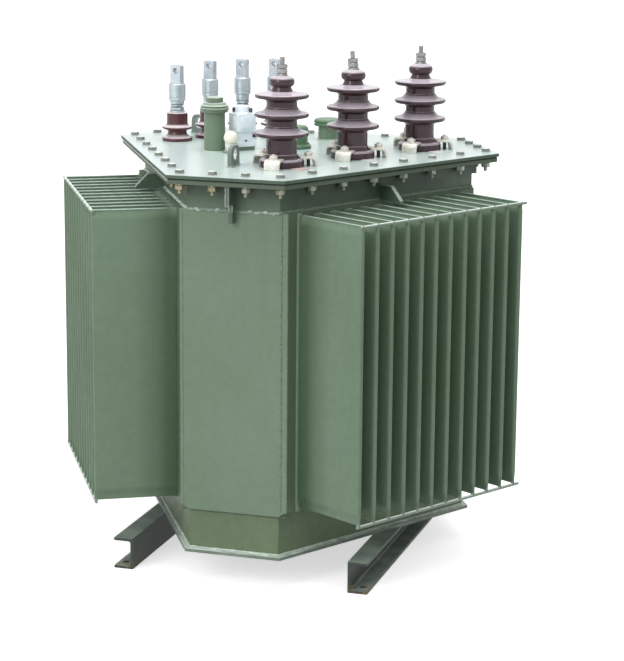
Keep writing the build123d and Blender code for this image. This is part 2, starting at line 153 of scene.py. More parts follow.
def noise(tree, vector, scale, detail=3.0, rough=0.5):
    inputs = {"Vector": vector, "Scale": scale, "Detail": detail, "Roughness": rough}
    return addNode(tree, "ShaderNodeTexNoise", inputs).outputs["Fac"]


def spread(tree, value, low, high, bottom=0.0, top=1.0):
    inputs = {"Value": value, "From Min": low, "From Max": high, "To Min": bottom, "To Max": top}
    return addNode(tree, "ShaderNodeMapRange", inputs, interpolation_type="SMOOTHSTEP").outputs["Result"]


# Inputs that share a name are told apart by their identifiers
def feedById(tree, node, inputs):
    sockets = {socket.identifier: socket for socket in node.inputs}
    for key, source in inputs.items():
        feed(tree, sockets[key], source)


def tint(tree, factor, first, second):
    node = addNode(tree, "ShaderNodeMix", data_type="RGBA")
    feedById(tree, node, {"Factor_Float": factor, "A_Color": first, "B_Color": second})
    return node.outputs[2]


def stretch(tree, vector, scale):
    return addNode(tree, "ShaderNodeMapping", {"Vector": vector, "Scale": scale}).outputs["Vector"]


def objectSpot(tree):
    return addNode(tree, "ShaderNodeTexCoord").outputs["Object"]


def parts(tree, vector):
    return addNode(tree, "ShaderNodeSeparateXYZ", {0: vector}).outputs


def vectorOf(tree, values):
    return addNode(tree, "ShaderNodeCombineXYZ", values).outputs[0]


def shade(red, green, blue):
    channels = []
    for value in (red, green, blue):
        part = value / 255
        channels.append(part / 12.92 if part < 0.04045 else ((part + 0.055) / 1.055) ** 2.4)
    return (*channels, 1.0)


# A finish with its colours, given in steps of 255, brought to light values
def shaded(look):
    tones = ("base", "second", "deep", "dustAndSheen", "wornAndLit", "shadeColour", "rust")
    return {key: shade(*value) if key in tones else value for key, value in look.items()}


# Shader groups shared by the finishes
def newGroup(name, inputs, outputs):
    group = bpy.data.node_groups.new(name, "ShaderNodeTree")
    for label, kind, value in inputs:
        socket = group.interface.new_socket(label, in_out="INPUT", socket_type="NodeSocket" + kind)
        socket.default_value = value
    for label, kind in outputs:
        group.interface.new_socket(label, in_out="OUTPUT", socket_type="NodeSocket" + kind)
    return group, group.nodes.new("NodeGroupInput").outputs, group.nodes.new("NodeGroupOutput").inputs


# Cloudy differences in a coat, large and small
def makeMottle():
    inputs = [("Scale", "Float", 5.0), ("Fine Scale", "Float", 60.0), ("Contrast", "Float", 0.5)]
    group, given, out = newGroup("mottle", inputs, [("Mask", "Float"), ("Fine", "Float")])
    spot = objectSpot(group)
    broad = noise(group, spot, given["Scale"], 4.0, 0.55)
    fine = noise(group, spot, given["Fine Scale"], 3.0, 0.6)
    low = sums(group, "MULTIPLY_ADD", given["Contrast"], -0.5, 0.5)
    high = sums(group, "MULTIPLY_ADD", given["Contrast"], 0.5, 0.5)
    feed(group, out["Mask"], spread(group, broad, low, high))
    feed(group, out["Fine"], spread(group, fine, 0.3, 0.7))
    return group


# Paint thinned or rubbed along outer edges, with the edge softened for the light; the pale edge also
# stands for painted highlight where edges catch the light
def makeEdges():
    inputs = [("Radius", "Float", 0.004), ("Break Scale", "Float", 40.0), ("Amount", "Float", 1.0)]
    group, given, out = newGroup("edges", inputs, [("Mask", "Float"), ("Normal", "Vector")])
    soft = addNode(group, "ShaderNodeBevel", {"Radius": given["Radius"]}, samples=4).outputs["Normal"]
    flat = addNode(group, "ShaderNodeNewGeometry").outputs["Normal"]
    match = addNode(group, "ShaderNodeVectorMath", {0: soft, 1: flat}, operation="DOT_PRODUCT")
    bent = spread(group, sums(group, "SUBTRACT", 1.0, match.outputs["Value"]), 0.02, 0.22)
    gaps = noise(group, objectSpot(group), given["Break Scale"], 4.0, 0.65)
    wornAndLit = sums(group, "MULTIPLY", bent, spread(group, gaps, 0.38, 0.62, 0.25, 1.0))
    feed(group, out["Mask"], sums(group, "MULTIPLY", wornAndLit, given["Amount"]))
    feed(group, out["Normal"], soft)
    return group


# Pale dust lying on level faces, which also stands for painted sheen where level faces catch the light
def makeDustAndSheen():
    inputs = [("Amount", "Float", 0.5), ("Patch Scale", "Float", 9.0), ("Thin", "Float", 0.45)]
    group, given, out = newGroup("dustAndSheen", inputs, [("Mask", "Float")])
    normal = addNode(group, "ShaderNodeNewGeometry").outputs["Normal"]
    level = spread(group, parts(group, normal)["Z"], 0.35, 0.95)
    patches = noise(group, objectSpot(group), given["Patch Scale"], 5.0, 0.6)
    lying = sums(group, "MULTIPLY", level, spread(group, patches, 0.3, 0.7, given["Thin"], 1.0))
    feed(group, out["Mask"], sums(group, "MULTIPLY", lying, given["Amount"]))
    return group


# Run marks down upright faces, made by rain and oil
def makeStreaks():
    inputs = [("Width Scale", "Float", 26.0), ("Amount", "Float", 0.4)]
    group, given, out = newGroup("streaks", inputs, [("Mask", "Float")])
    spot = objectSpot(group)
    runs = noise(group, stretch(group, spot, (1.0, 1.0, 0.05)), given["Width Scale"], 4.0, 0.6)
    gaps = noise(group, stretch(group, spot, (1.0, 1.0, 0.4)), 3.0, 2.0, 0.5)
    marks = sums(group, "MULTIPLY", spread(group, runs, 0.5, 0.68), spread(group, gaps, 0.42, 0.66))
    feed(group, out["Mask"], sums(group, "MULTIPLY", marks, given["Amount"]))
    return group


# Height of a sprayed skin: fine peel over slow waves in the sheet
def makeSkin():
    inputs = [("Peel Scale", "Float", 320.0), ("Wave Scale", "Float", 5.0), ("Wave Share", "Float", 0.5)]
    group, given, out = newGroup("skin", inputs, [("Height", "Float")])
    spot = objectSpot(group)
    peel = noise(group, spot, given["Peel Scale"], 2.0, 0.5)
    wave = noise(group, spot, given["Wave Scale"], 1.0, 0.4)
    slow = sums(group, "MULTIPLY", wave, given["Wave Share"])
    feed(group, out["Height"], sums(group, "MULTIPLY_ADD", peel, 0.06, slow))
    return group


groups = {
    "mottle": makeMottle(),
    "edges": makeEdges(),
    "dustAndSheen": makeDustAndSheen(),
    "streaks": makeStreaks(),
    "skin": makeSkin(),
}


def useGroup(tree, group, values):
    node = addNode(tree, "ShaderNodeGroup", node_tree=groups[group])
    for label, value in values.items():
        feed(tree, node.inputs[label], value)
    return node.outputs


# The groups that a coat takes most of its look from
def coatMasks(tree, look):
    cloud = useGroup(tree, "mottle", {
        "Scale": look["cloud"], "Fine Scale": look["fineScale"], "Contrast": look["contrast"],
    })
    edges = useGroup(tree, "edges", {
        "Radius": look["edgeRadius"], "Break Scale": look["breakScale"], "Amount": look["edgeAmount"],
    })
    dustAndSheen = useGroup(tree, "dustAndSheen", {
        "Amount": look["dustAndSheenAmount"], "Patch Scale": look["dustAndSheenScale"], "Thin": look["dustAndSheenThin"],
    })
    skin = useGroup(tree, "skin", {
        "Peel Scale": look["peelScale"], "Wave Scale": look["waves"], "Wave Share": look["waveShare"],
    })
    return cloud, edges, dustAndSheen, skin["Height"]


def newMaterial(name):
    material = bpy.data.materials.new(name)
    material.use_nodes = True
    return material, material.node_tree, material.node_tree.nodes["Principled BSDF"].inputs


def bumpUp(tree, shader, height, look, normal=None):
    inputs = {"Strength": look["bump"], "Distance": look["bumpHeight"], "Height": height}
    if normal:
        inputs["Normal"] = normal
    feed(tree, shader["Normal"], addNode(tree, "ShaderNodeBump", inputs).outputs["Normal"])


def heightOf(tree):
    return parts(tree, objectSpot(tree))["Z"]


# What the paints have in common, unless one of them says otherwise
plainCoat = {
    "gloss": 0.6, "dustAndSheenRough": 0.1, "cloud": 30.0, "edgeRadius": 0.002, "edgeAmount": 0.3,
    "dustAndSheenAmount": 0.3, "runAmount": 0.2, "waves": 30.0, "waveShare": 0.2, "bump": 0.3, "fine": 0.12,
    "dustAndSheenScale": 7.0, "dustAndSheenThin": 0.45, "roughSpan": 0.06, "shine": 0.5, "fineScale": 55.0,
    "contrast": 0.35, "breakScale": 38.0, "runScale": 24.0, "peelScale": 340.0, "bumpHeight": 0.004,
}


# Sprayed paint with cloudy colour, runs, dust and rubbed edges
def paintMaterial(name, own):
    look = shaded({**plainCoat, **own})
    material, tree, shader = newMaterial(name)
    cloud, edges, dustAndSheen, height = coatMasks(tree, look)
    runs = useGroup(tree, "streaks", {"Width Scale": look["runScale"], "Amount": look["runAmount"]})
    colour = tint(tree, cloud["Mask"], look["base"], look["second"])
    colour = tint(tree, sums(tree, "MULTIPLY", cloud["Fine"], look["fine"]), colour, look["deep"])
    colour = tint(tree, runs["Mask"], colour, look["deep"])
    # Painted shade at the fin roots, from the fins' rootShade attribute
    if "rootShade" in look:
        rootShade = addNode(tree, "ShaderNodeAttribute", attribute_name="rootShade").outputs["Fac"]
        colour = tint(tree, sums(tree, "MULTIPLY", rootShade, look["rootShade"]), colour, look["shadeColour"])
    # Painted shade: darker towards the rim, under the cover's overhang
    if "band" in look:
        start, end, amount = look["band"]
        colour = tint(tree, spread(tree, heightOf(tree), start, end, 0.0, amount), colour, look["shadeColour"])
    colour = tint(tree, dustAndSheen["Mask"], colour, look["dustAndSheen"])
    # Pale edges: wear, and painted highlight where edges catch the light, on the lugs only above a height
    wornAndLitEdge = edges["Mask"]
    if "wornAndLitFrom" in look:
        wornAndLitEdge = sums(tree, "MULTIPLY", wornAndLitEdge, spread(tree, heightOf(tree), *look["wornAndLitFrom"]))
    colour = tint(tree, wornAndLitEdge, colour, look["wornAndLit"])
    feed(tree, shader["Base Color"], colour)
    shader["Specular IOR Level"].default_value = look["shine"]
    span = look["roughSpan"]
    rough = spread(tree, cloud["Fine"], 0.0, 1.0, look["gloss"] - span, look["gloss"] + span)
    feed(tree, shader["Roughness"], sums(tree, "MULTIPLY_ADD", dustAndSheen["Mask"], look["dustAndSheenRough"], rough))
    bumpUp(tree, shader, height, look, edges["Normal"])
    return material


tankPaint = paintMaterial("tankPaint", {
    "base": (110, 131, 108), "second": (116, 138, 117), "deep": (74, 96, 72),
    "dustAndSheen": (190, 208, 196), "wornAndLit": (160, 184, 164), "gloss": 0.4, "cloud": 2.2,
    "edgeRadius": 0.004, "edgeAmount": 0.5, "dustAndSheenAmount": 0.55, "runAmount": 0.12, "waves": 4.0,
    "waveShare": 0.9,
})
# Fin paint, darkened towards the wall by painted shade at the roots
finPaint = paintMaterial("finPaint", {
    "base": (115, 136, 113), "second": (121, 143, 122), "deep": (76, 98, 74),
    "dustAndSheen": (190, 208, 196), "wornAndLit": (160, 184, 164), "shadeColour": (42, 70, 40), "gloss": 0.45,
    "cloud": 2.2, "edgeRadius": 0.004, "edgeAmount": 0.5, "dustAndSheenAmount": 0.55, "runAmount": 0.12,
    "waves": 4.0, "waveShare": 0.9, "shine": 0.2, "rootShade": 1.0,
})
# Fin walls: darker than the tank paint, as painted shade in the recesses between the fins
wallShadePaint = paintMaterial("wallShadePaint", {
    "base": (84, 102, 80), "second": (90, 108, 87), "deep": (58, 74, 54), "dustAndSheen": (160, 178, 162),
    "wornAndLit": (128, 148, 126), "cloud": 3.0, "edgeRadius": 0.003, "dustAndSheenAmount": 0.4, "waves": 5.0,
    "waveShare": 0.8,
})
# Collar: darker than the tank paint and darker still towards the rim, as painted shade under the cover's
# overhang
collarPaint = paintMaterial("collarPaint", {
    "base": (94, 115, 95), "second": (100, 121, 101), "deep": (64, 82, 62), "dustAndSheen": (190, 208, 196),
    "wornAndLit": (140, 164, 142), "shadeColour": (44, 60, 48), "gloss": 0.5, "cloud": 5.0, "edgeRadius": 0.004,
    "edgeAmount": 0.4, "dustAndSheenAmount": 0.4, "runAmount": 0.3, "waves": 6.0, "waveShare": 0.8,
    "band": (bandHead - 0.02, rimFoot, 0.68),
})
rimPaint = paintMaterial("rimPaint", {
    "base": (106, 119, 104), "second": (112, 125, 110), "deep": (72, 84, 70),
    "dustAndSheen": (190, 208, 196), "wornAndLit": (140, 164, 142), "cloud": 5.0, "dustAndSheenAmount": 0.4, "waves": 6.0,
    "waveShare": 0.8, "shine": 0.12,
})
# Cover edge: darker and duller than the cover, as painted shade on its side faces
coverEdgeShadePaint = paintMaterial("coverEdgeShadePaint", {
    "base": (92, 109, 96), "second": (100, 118, 104), "deep": (66, 82, 70), "dustAndSheen": (200, 216, 210),
    "wornAndLit": (150, 168, 156), "cloud": 9.0, "edgeRadius": 0.0015, "edgeAmount": 0.25,
    "dustAndSheenAmount": 0.5, "waves": 8.0, "waveShare": 0.6, "shine": 0.1,
})
skirtPaint = paintMaterial("skirtPaint", {
    "base": (101, 119, 91), "second": (107, 126, 98), "deep": (74, 88, 64), "dustAndSheen": (186, 200, 186),
    "wornAndLit": (150, 168, 144), "gloss": 0.62, "cloud": 3.0, "edgeRadius": 0.004, "edgeAmount": 0.35,
    "dustAndSheenAmount": 0.4, "runAmount": 0.04, "waves": 4.0, "waveShare": 0.9,
})
# Rods: the near-white dust on their tops is mostly painted highlight
rodPaint = paintMaterial("rodPaint", {
    "base": (116, 136, 118), "second": (134, 154, 138), "deep": (80, 98, 80),
    "dustAndSheen": (238, 247, 242), "wornAndLit": (206, 220, 210), "gloss": 0.34, "cloud": 16.0,
    "dustAndSheenAmount": 0.95, "runAmount": 0.15, "waves": 12.0, "waveShare": 0.4, "dustAndSheenScale": 24.0,
    "dustAndSheenThin": 0.75,
})
# Fin head beads: the pale dust on top is partly painted highlight
beadPaint = paintMaterial("beadPaint", {
    "base": (116, 137, 119), "second": (130, 152, 136), "deep": (80, 98, 80),
    "dustAndSheen": (198, 217, 205), "wornAndLit": (180, 200, 186), "gloss": 0.4, "cloud": 20.0,
    "edgeAmount": 0.2, "dustAndSheenAmount": 0.85, "runAmount": 0.1, "waves": 16.0, "waveShare": 0.4,
    "dustAndSheenScale": 8.0, "dustAndSheenThin": 0.75,
})
# Lugs: the near-white upper edges are painted highlight, catching the light above the fin band
lugPaint = paintMaterial("lugPaint", {
    "base": (80, 100, 83), "second": (88, 108, 91), "deep": (58, 76, 58), "dustAndSheen": (214, 226, 217),
    "wornAndLit": (236, 244, 238), "gloss": 0.4, "cloud": 12.0, "edgeRadius": 0.006, "edgeAmount": 2.4,
    "dustAndSheenAmount": 0.6, "waves": 10.0, "waveShare": 0.5,
    "wornAndLitFrom": (bandHead - 0.004, bandHead + 0.008),
})
platePaint = paintMaterial("platePaint", {
    "base": (112, 128, 112), "second": (138, 152, 140), "deep": (72, 84, 72),
    "dustAndSheen": (222, 233, 226), "wornAndLit": (196, 208, 198), "gloss": 0.45, "cloud": 14.0,
    "edgeRadius": 0.003, "edgeAmount": 0.5, "dustAndSheenAmount": 0.9, "waves": 10.0, "waveShare": 0.5,
    "bump": 0.35, "dustAndSheenScale": 18.0,
})
# Cover: the pale dust on top also stands for painted reflection of the bright sky
coverPaint = paintMaterial("coverPaint", {
    "base": (98, 117, 102), "second": (104, 124, 109), "deep": (82, 100, 86),
    "dustAndSheen": (210, 226, 223), "wornAndLit": (184, 200, 191), "gloss": 0.24, "dustAndSheenRough": 0.02,
    "roughSpan": 0.012, "cloud": 1.6, "edgeRadius": 0.0025, "edgeAmount": 0.4, "dustAndSheenAmount": 0.97,
    "runAmount": 0.1, "fine": 0.03, "waves": 2.0, "waveShare": 0.5, "bump": 0.008, "dustAndSheenScale": 1.4,
    "dustAndSheenThin": 0.86,
})
fittingPaint = paintMaterial("fittingPaint", {
    "base": (106, 126, 103), "second": (112, 133, 110), "deep": (72, 90, 68),
    "dustAndSheen": (214, 226, 217), "wornAndLit": (168, 188, 168), "gloss": 0.36, "cloud": 9.0,
    "edgeRadius": 0.0025, "edgeAmount": 0.5, "dustAndSheenAmount": 0.9, "waves": 14.0, "bump": 0.2,
})
hoodPaint = paintMaterial("hoodPaint", {
    "base": (72, 108, 76), "second": (82, 117, 86), "deep": (46, 76, 50), "dustAndSheen": (160, 184, 162),
    "wornAndLit": (130, 162, 134), "gloss": 0.4, "cloud": 10.0, "edgeRadius": 0.0025, "edgeAmount": 0.4,
    "dustAndSheenAmount": 0.55, "waves": 14.0, "bump": 0.2,
})
weldPaint = paintMaterial("weldPaint", {
    "base": (118, 142, 122), "second": (150, 172, 156), "deep": (78, 98, 78),
    "dustAndSheen": (206, 220, 208), "wornAndLit": (196, 212, 200), "gloss": 0.3, "cloud": 26.0,
    "dustAndSheenAmount": 0.5, "runAmount": 0.1, "waveShare": 0.6, "bump": 0.4,
})
# Paler weld paint for welds that catch the light: painted highlight
highlightWeld = paintMaterial("highlightWeld", {
    "base": (150, 170, 156), "second": (206, 218, 208), "deep": (96, 114, 98),
    "dustAndSheen": (226, 234, 228), "wornAndLit": (226, 234, 228), "gloss": 0.28, "cloud": 34.0,
    "edgeAmount": 0.4, "dustAndSheenAmount": 0.6, "runAmount": 0.1, "waveShare": 0.6, "bump": 0.4,
})
seamShade = paintMaterial("seamShade", {
    "base": (74, 92, 72), "second": (88, 107, 86), "deep": (54, 68, 52), "dustAndSheen": (120, 138, 120),
    "wornAndLit": (98, 117, 96), "gloss": 0.5, "cloud": 20.0, "edgeRadius": 0.001, "runAmount": 0.1,
    "waveShare": 0.4,
})
eyePaint = paintMaterial("eyePaint", {
    "base": (108, 122, 116), "second": (122, 136, 130), "deep": (70, 80, 74),
    "dustAndSheen": (172, 184, 178), "wornAndLit": (176, 188, 182), "gloss": 0.42, "cloud": 14.0,
    "edgeRadius": 0.003, "edgeAmount": 0.6, "dustAndSheenAmount": 0.35, "runAmount": 0.25, "waves": 20.0,
    "waveShare": 0.3,
})
valveWhite = paintMaterial("valveWhite", {
    "base": (236, 246, 254), "second": (240, 249, 255), "deep": (198, 214, 230),
    "dustAndSheen": (240, 246, 250), "wornAndLit": (250, 252, 254), "gloss": 0.3, "cloud": 16.0,
    "edgeAmount": 0.5, "runAmount": 0.15, "waves": 20.0, "waveShare": 0.15, "bump": 0.15,
})
plugCream = paintMaterial("plugCream", {
    "base": (250, 246, 226), "second": (252, 248, 234), "deep": (224, 214, 184),
    "dustAndSheen": (250, 248, 238), "wornAndLit": (252, 250, 242), "gloss": 0.4, "cloud": 20.0,
    "edgeAmount": 0.4, "runAmount": 0.15, "bump": 0.2,
})
gasketRubber = paintMaterial("gasketRubber", {
    "base": (88, 101, 91), "second": (74, 86, 77), "deep": (44, 52, 46), "dustAndSheen": (92, 98, 92),
    "wornAndLit": (84, 94, 86), "gloss": 0.7, "cloud": 3.0, "edgeRadius": 0.001, "edgeAmount": 0.2,
    "runAmount": 0.1, "waves": 20.0, "bump": 0.4, "shine": 0.25,
})
# Black rubber of the corner beads, also painted shade of the open gap
rubberAndGapShade = paintMaterial("rubberAndGapShade", {
    "base": (20, 22, 21), "second": (28, 31, 29), "deep": (14, 15, 14), "dustAndSheen": (70, 74, 71),
    "wornAndLit": (52, 56, 53), "edgeRadius": 0.001, "edgeAmount": 0.2, "dustAndSheenAmount": 0.2,
    "runAmount": 0.1, "bump": 0.4,
})
footGasket = paintMaterial("footGasket", {
    "base": (196, 164, 156), "second": (212, 190, 182), "deep": (150, 122, 114),
    "dustAndSheen": (232, 222, 216), "wornAndLit": (224, 208, 200), "edgeRadius": 0.001,
})
paleSheet = paintMaterial("paleSheet", {
    "base": (206, 208, 203), "second": (220, 222, 218), "deep": (150, 150, 146),
    "dustAndSheen": (236, 238, 235), "wornAndLit": (232, 234, 230), "edgeRadius": 0.001, "dustAndSheenAmount": 0.4,
})
knobPlastic = paintMaterial("knobPlastic", {
    "base": (58, 58, 70), "second": (68, 68, 80), "deep": (38, 38, 46), "dustAndSheen": (120, 122, 130),
    "wornAndLit": (108, 108, 118), "gloss": 0.45, "edgeRadius": 0.001, "edgeAmount": 0.4,
})


# Dark paint on the feet, its darkness partly painted shade under the tank, with rust creeping up from the
# floor and mud on the lower flanges
def footMaterial(name, own):
    look = shaded(own)
    material, tree, shader = newMaterial(name)
    spot = objectSpot(tree)
    where = parts(tree, spot)
    cloud, edges, dustAndSheen, height = coatMasks(tree, look)
    low = spread(tree, where["Z"], 0.0, look["rustTop"], 1.0, 0.0)
    ends = spread(tree, where["Y"], look["mudStart"], look["mudEnd"], 1.0, look["rustRest"])
    flakes = spread(tree, noise(tree, spot, look["flakeScale"], 6.0, 0.7), 0.46, 0.62)
    rusty = sums(tree, "MULTIPLY", sums(tree, "MULTIPLY", low, ends), flakes)
    colour = tint(tree, cloud["Mask"], look["base"], look["second"])
    colour = tint(tree, sums(tree, "MULTIPLY", cloud["Fine"], look["fine"]), colour, look["deep"])
    colour = tint(tree, dustAndSheen["Mask"], colour, look["dustAndSheen"])
    colour = tint(tree, edges["Mask"], colour, look["wornAndLit"])
    colour = tint(tree, rusty, colour, look["rust"])
    feed(tree, shader["Base Color"], colour)
    feed(tree, shader["Roughness"], spread(tree, rusty, 0.0, 1.0, look["gloss"], look["rustGloss"]))
    bumpUp(tree, shader, sums(tree, "ADD", height, rusty), look, edges["Normal"])
    return material


footPaint = footMaterial("footPaint", {
    "base": (36, 47, 40), "second": (52, 65, 56), "deep": (28, 36, 31), "dustAndSheen": (156, 172, 160),
    "wornAndLit": (160, 174, 164), "rust": (140, 120, 84), "cloud": 12.0, "fineScale": 90.0,
    "contrast": 0.4, "fine": 0.3, "gloss": 0.55, "edgeRadius": 0.003, "breakScale": 45.0,
    "edgeAmount": 0.8, "dustAndSheenAmount": 0.95, "dustAndSheenScale": 16.0, "dustAndSheenThin": 0.55, "peelScale": 260.0,
    "waves": 18.0, "waveShare": 0.4, "bump": 0.4, "bumpHeight": 0.003, "rustTop": 0.03,
    "rustRest": 0.12, "rustGloss": 0.85, "flakeScale": 38.0, "mudStart": -0.41, "mudEnd": -0.3,
})


# What both glazes have in common
plainGlaze = {
    "cloud": 14.0, "fineScale": 120.0, "contrast": 0.4, "fine": 0.15, "breakScale": 30.0,
    "dustAndSheenScale": 22.0, "dustAndSheenThin": 0.85, "peelScale": 150.0, "waves": 24.0, "waveShare": 0.5,
    "smooth": 0.14, "dull": 0.24, "shine": 0.36, "coat": 0.18, "coatGloss": 0.08, "bump": 0.1,
    "bumpHeight": 0.002,
}


# Glazed porcelain: deep colour, thinner glaze on the rims, a hard clear coat
def glazeMaterial(name, own):
    look = shaded({**plainGlaze, **own})
    material, tree, shader = newMaterial(name)
    cloud, edges, dustAndSheen, height = coatMasks(tree, look)
    colour = tint(tree, cloud["Mask"], look["base"], look["second"])
    colour = tint(tree, sums(tree, "MULTIPLY", cloud["Fine"], look["fine"]), colour, look["deep"])
    colour = tint(tree, dustAndSheen["Mask"], colour, look["dustAndSheen"])
    colour = tint(tree, edges["Mask"], colour, look["wornAndLit"])
    feed(tree, shader["Base Color"], colour)
    feed(tree, shader["Roughness"], spread(tree, cloud["Fine"], 0.0, 1.0, look["smooth"], look["dull"]))
    shader["Specular IOR Level"].default_value = look["shine"]
    shader["Coat Weight"].default_value = look["coat"]
    shader["Coat Roughness"].default_value = look["coatGloss"]
    bumpUp(tree, shader, height, look)
    return material


# Glazes: the pale dust on the shed tops is partly painted sheen
hvGlaze = glazeMaterial("hvGlaze", {
    "base": (60, 38, 45), "second": (72, 48, 55), "deep": (40, 25, 31), "dustAndSheen": (212, 202, 212),
    "wornAndLit": (150, 128, 138), "edgeRadius": 0.004, "edgeAmount": 0.5, "dustAndSheenAmount": 0.95,
})
lvGlaze = glazeMaterial("lvGlaze", {
    "base": (80, 42, 46), "second": (92, 52, 56), "deep": (48, 26, 30), "dustAndSheen": (226, 216, 220),
    "wornAndLit": (146, 120, 126), "edgeRadius": 0.003, "edgeAmount": 0.45, "dustAndSheenAmount": 1.0,
})


# What the metals have in common, unless one of them says otherwise
plainMetal = {
    "dustAndSheenAmount": 0.2, "dustAndSheenScale": 60.0, "dustAndSheenThin": 0.45, "fineScale": 200.0, "contrast": 0.3,
    "edgeRadius": 0.0015, "breakScale": 120.0, "peelScale": 420.0, "waves": 60.0, "waveShare": 0.4,
    "spangleShare": 0.35, "roughSpan": 0.16, "bump": 0.25, "bumpHeight": 0.0015, "cloud": 30.0,
    "spangle": 300.0, "edgeAmount": 0.5, "gloss": 0.4, "metal": 0.35,
}


# Plated or galvanised metal: clouded tone, dull spangle and rubbed edges
def metalMaterial(name, own):
    look = shaded({**plainMetal, **own})
    material, tree, shader = newMaterial(name)
    cloud, edges, bloomAndSheen, height = coatMasks(tree, look)
    cells = addNode(tree, "ShaderNodeTexVoronoi", {"Vector": objectSpot(tree), "Scale": look["spangle"]})
    grey = addNode(tree, "ShaderNodeSeparateColor", {0: cells.outputs["Color"]}).outputs[0]
    colour = tint(tree, cloud["Mask"], look["base"], look["second"])
    colour = tint(tree, sums(tree, "MULTIPLY", grey, look["spangleShare"]), colour, look["deep"])
    # Bloom on level faces in the pale rubbed colour, also painted sheen on the tops
    colour = tint(tree, bloomAndSheen["Mask"], colour, look["wornAndLit"])
    colour = tint(tree, edges["Mask"], colour, look["wornAndLit"])
    feed(tree, shader["Base Color"], colour)
    shader["Metallic"].default_value = look["metal"]
    dull = look["gloss"] + look["roughSpan"]
    feed(tree, shader["Roughness"], spread(tree, grey, 0.0, 1.0, look["gloss"], dull))
    bumpUp(tree, shader, height, look, edges["Normal"])
    return material


galvanised = metalMaterial("galvanised", {
    "base": (184, 194, 201), "second": (202, 210, 216), "deep": (152, 161, 169),
    "wornAndLit": (228, 232, 236), "spangle": 240.0, "gloss": 0.34, "metal": 0.75,
})
# Bolt heads: their white tops are painted highlight
boltZinc = metalMaterial("boltZinc", {
    "base": (124, 130, 124), "second": (148, 151, 143), "deep": (86, 90, 86),
    "wornAndLit": (242, 244, 238), "cloud": 7.0, "edgeAmount": 0.25, "metal": 0.25, "dustAndSheenAmount": 1.0,
})
# Dark stud metal, its darkness partly painted shade in the clamp hollows
studShadeDark = metalMaterial("studShadeDark", {
    "base": (66, 66, 62), "second": (84, 82, 76), "deep": (40, 40, 38), "wornAndLit": (120, 118, 112),
    "edgeAmount": 0.3, "gloss": 0.45, "metal": 0.6,
})
nutBrass = metalMaterial("nutBrass", {
    "base": (202, 190, 152), "second": (174, 182, 170), "deep": (132, 120, 94),
    "wornAndLit": (240, 232, 212), "cloud": 3.0,
})
nutGrey = metalMaterial("nutGrey", {
    "base": (182, 194, 181), "second": (196, 206, 195), "deep": (128, 138, 128),
    "wornAndLit": (226, 234, 226), "cloud": 16.0, "edgeAmount": 0.4, "metal": 0.4, "dustAndSheenAmount": 0.4,
})
clampSteel = metalMaterial("clampSteel", {
    "base": (226, 223, 212), "second": (238, 236, 227), "deep": (178, 172, 158),
    "wornAndLit": (250, 249, 245), "cloud": 20.0, "spangle": 200.0, "dustAndSheenAmount": 0.7,
})
brightBore = metalMaterial("brightBore", {
    "base": (206, 214, 208), "second": (222, 228, 223), "deep": (168, 176, 170),
    "wornAndLit": (242, 246, 243), "cloud": 20.0, "spangle": 260.0, "edgeAmount": 0.3, "gloss": 0.35,
    "metal": 0.2, "dustAndSheenAmount": 0.6,
})
studNickel = metalMaterial("studNickel", {
    "base": (142, 142, 142), "second": (170, 170, 170), "deep": (92, 92, 92),
    "wornAndLit": (216, 216, 216), "spangle": 320.0, "gloss": 0.32, "metal": 0.85,
})
print("finishes ready:", len(bpy.data.materials))

nodeFinishes = {
    tankPaint: ["front_corner_panel", "right_corner_panel", "left_corner_panel"],
    finPaint: ["right_cooling_fins", "rear_cooling_fins", "left_cooling_fins"],
    wallShadePaint: ["right_fin_wall", "rear_fin_wall", "left_fin_wall"],
    lugPaint: ["lifting_lugs", "collar_gussets"],
    collarPaint: ["upper_collar"],
    rimPaint: ["rim_flange"],
    skirtPaint: ["base_skirt"],
    rodPaint: ["fin_tie_rods"],
    platePaint: ["bottom_plate"],
    coverPaint: ["cover_plate"],
    footPaint: ["left_foot_channel", "right_foot_channel"],
    gasketRubber: ["cover_gasket"],
    fittingPaint: ["oil_filler_pipe", "valve_pad", "thermometer_well"],
}
for finish, names in nodeFinishes.items():
    for name in names:
        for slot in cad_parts[name].material_slots:
            slot.material = finish


# Mesh helpers
def placePiece(name, mesh, material, nodes=(), smooth=32):
    mesh.name = name
    mesh.materials.clear()
    mesh.materials.append(material)
    mesh.shade_smooth()
    mesh.set_sharp_from_angle(angle=math.radians(smooth))
    piece = bpy.data.objects.new(name, mesh)
    scene.collection.objects.link(piece)
    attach(piece, "root")
    if nodes:
        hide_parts(*nodes)
    return piece


def meshOf(bm, name):
    bmesh.ops.remove_doubles(bm, verts=bm.verts, dist=1e-6)
    bmesh.ops.recalc_face_normals(bm, faces=bm.faces)
    mesh = bpy.data.meshes.new(name)
    bm.to_mesh(mesh)
    bm.free()
    return mesh


def finishPiece(name, bm, material, nodes=(), smooth=32):
    return placePiece(name, meshOf(bm, name), material, nodes, smooth)


# Outline with its inner corners rounded by short curves
def softened(points, radius, steps=4, closed=False):
    points = [Vector(point) for point in points]
    count = len(points)
    result = [] if closed else [points[0]]
    inner = range(count) if closed else range(1, count - 1)
    for index in inner:
        corner = points[index]
        back = points[index - 1] - corner
        ahead = points[(index + 1) % count] - corner
        cut = min(radius, 0.48 * back.length, 0.48 * ahead.length)
        start = corner + back.normalized() * cut
        end = corner + ahead.normalized() * cut
        for step in range(steps + 1):
            t = step / steps
            result.append(start * (1 - t) ** 2 + corner * 2 * t * (1 - t) + end * t ** 2)
    if not closed:
        result.append(points[-1])
    return result


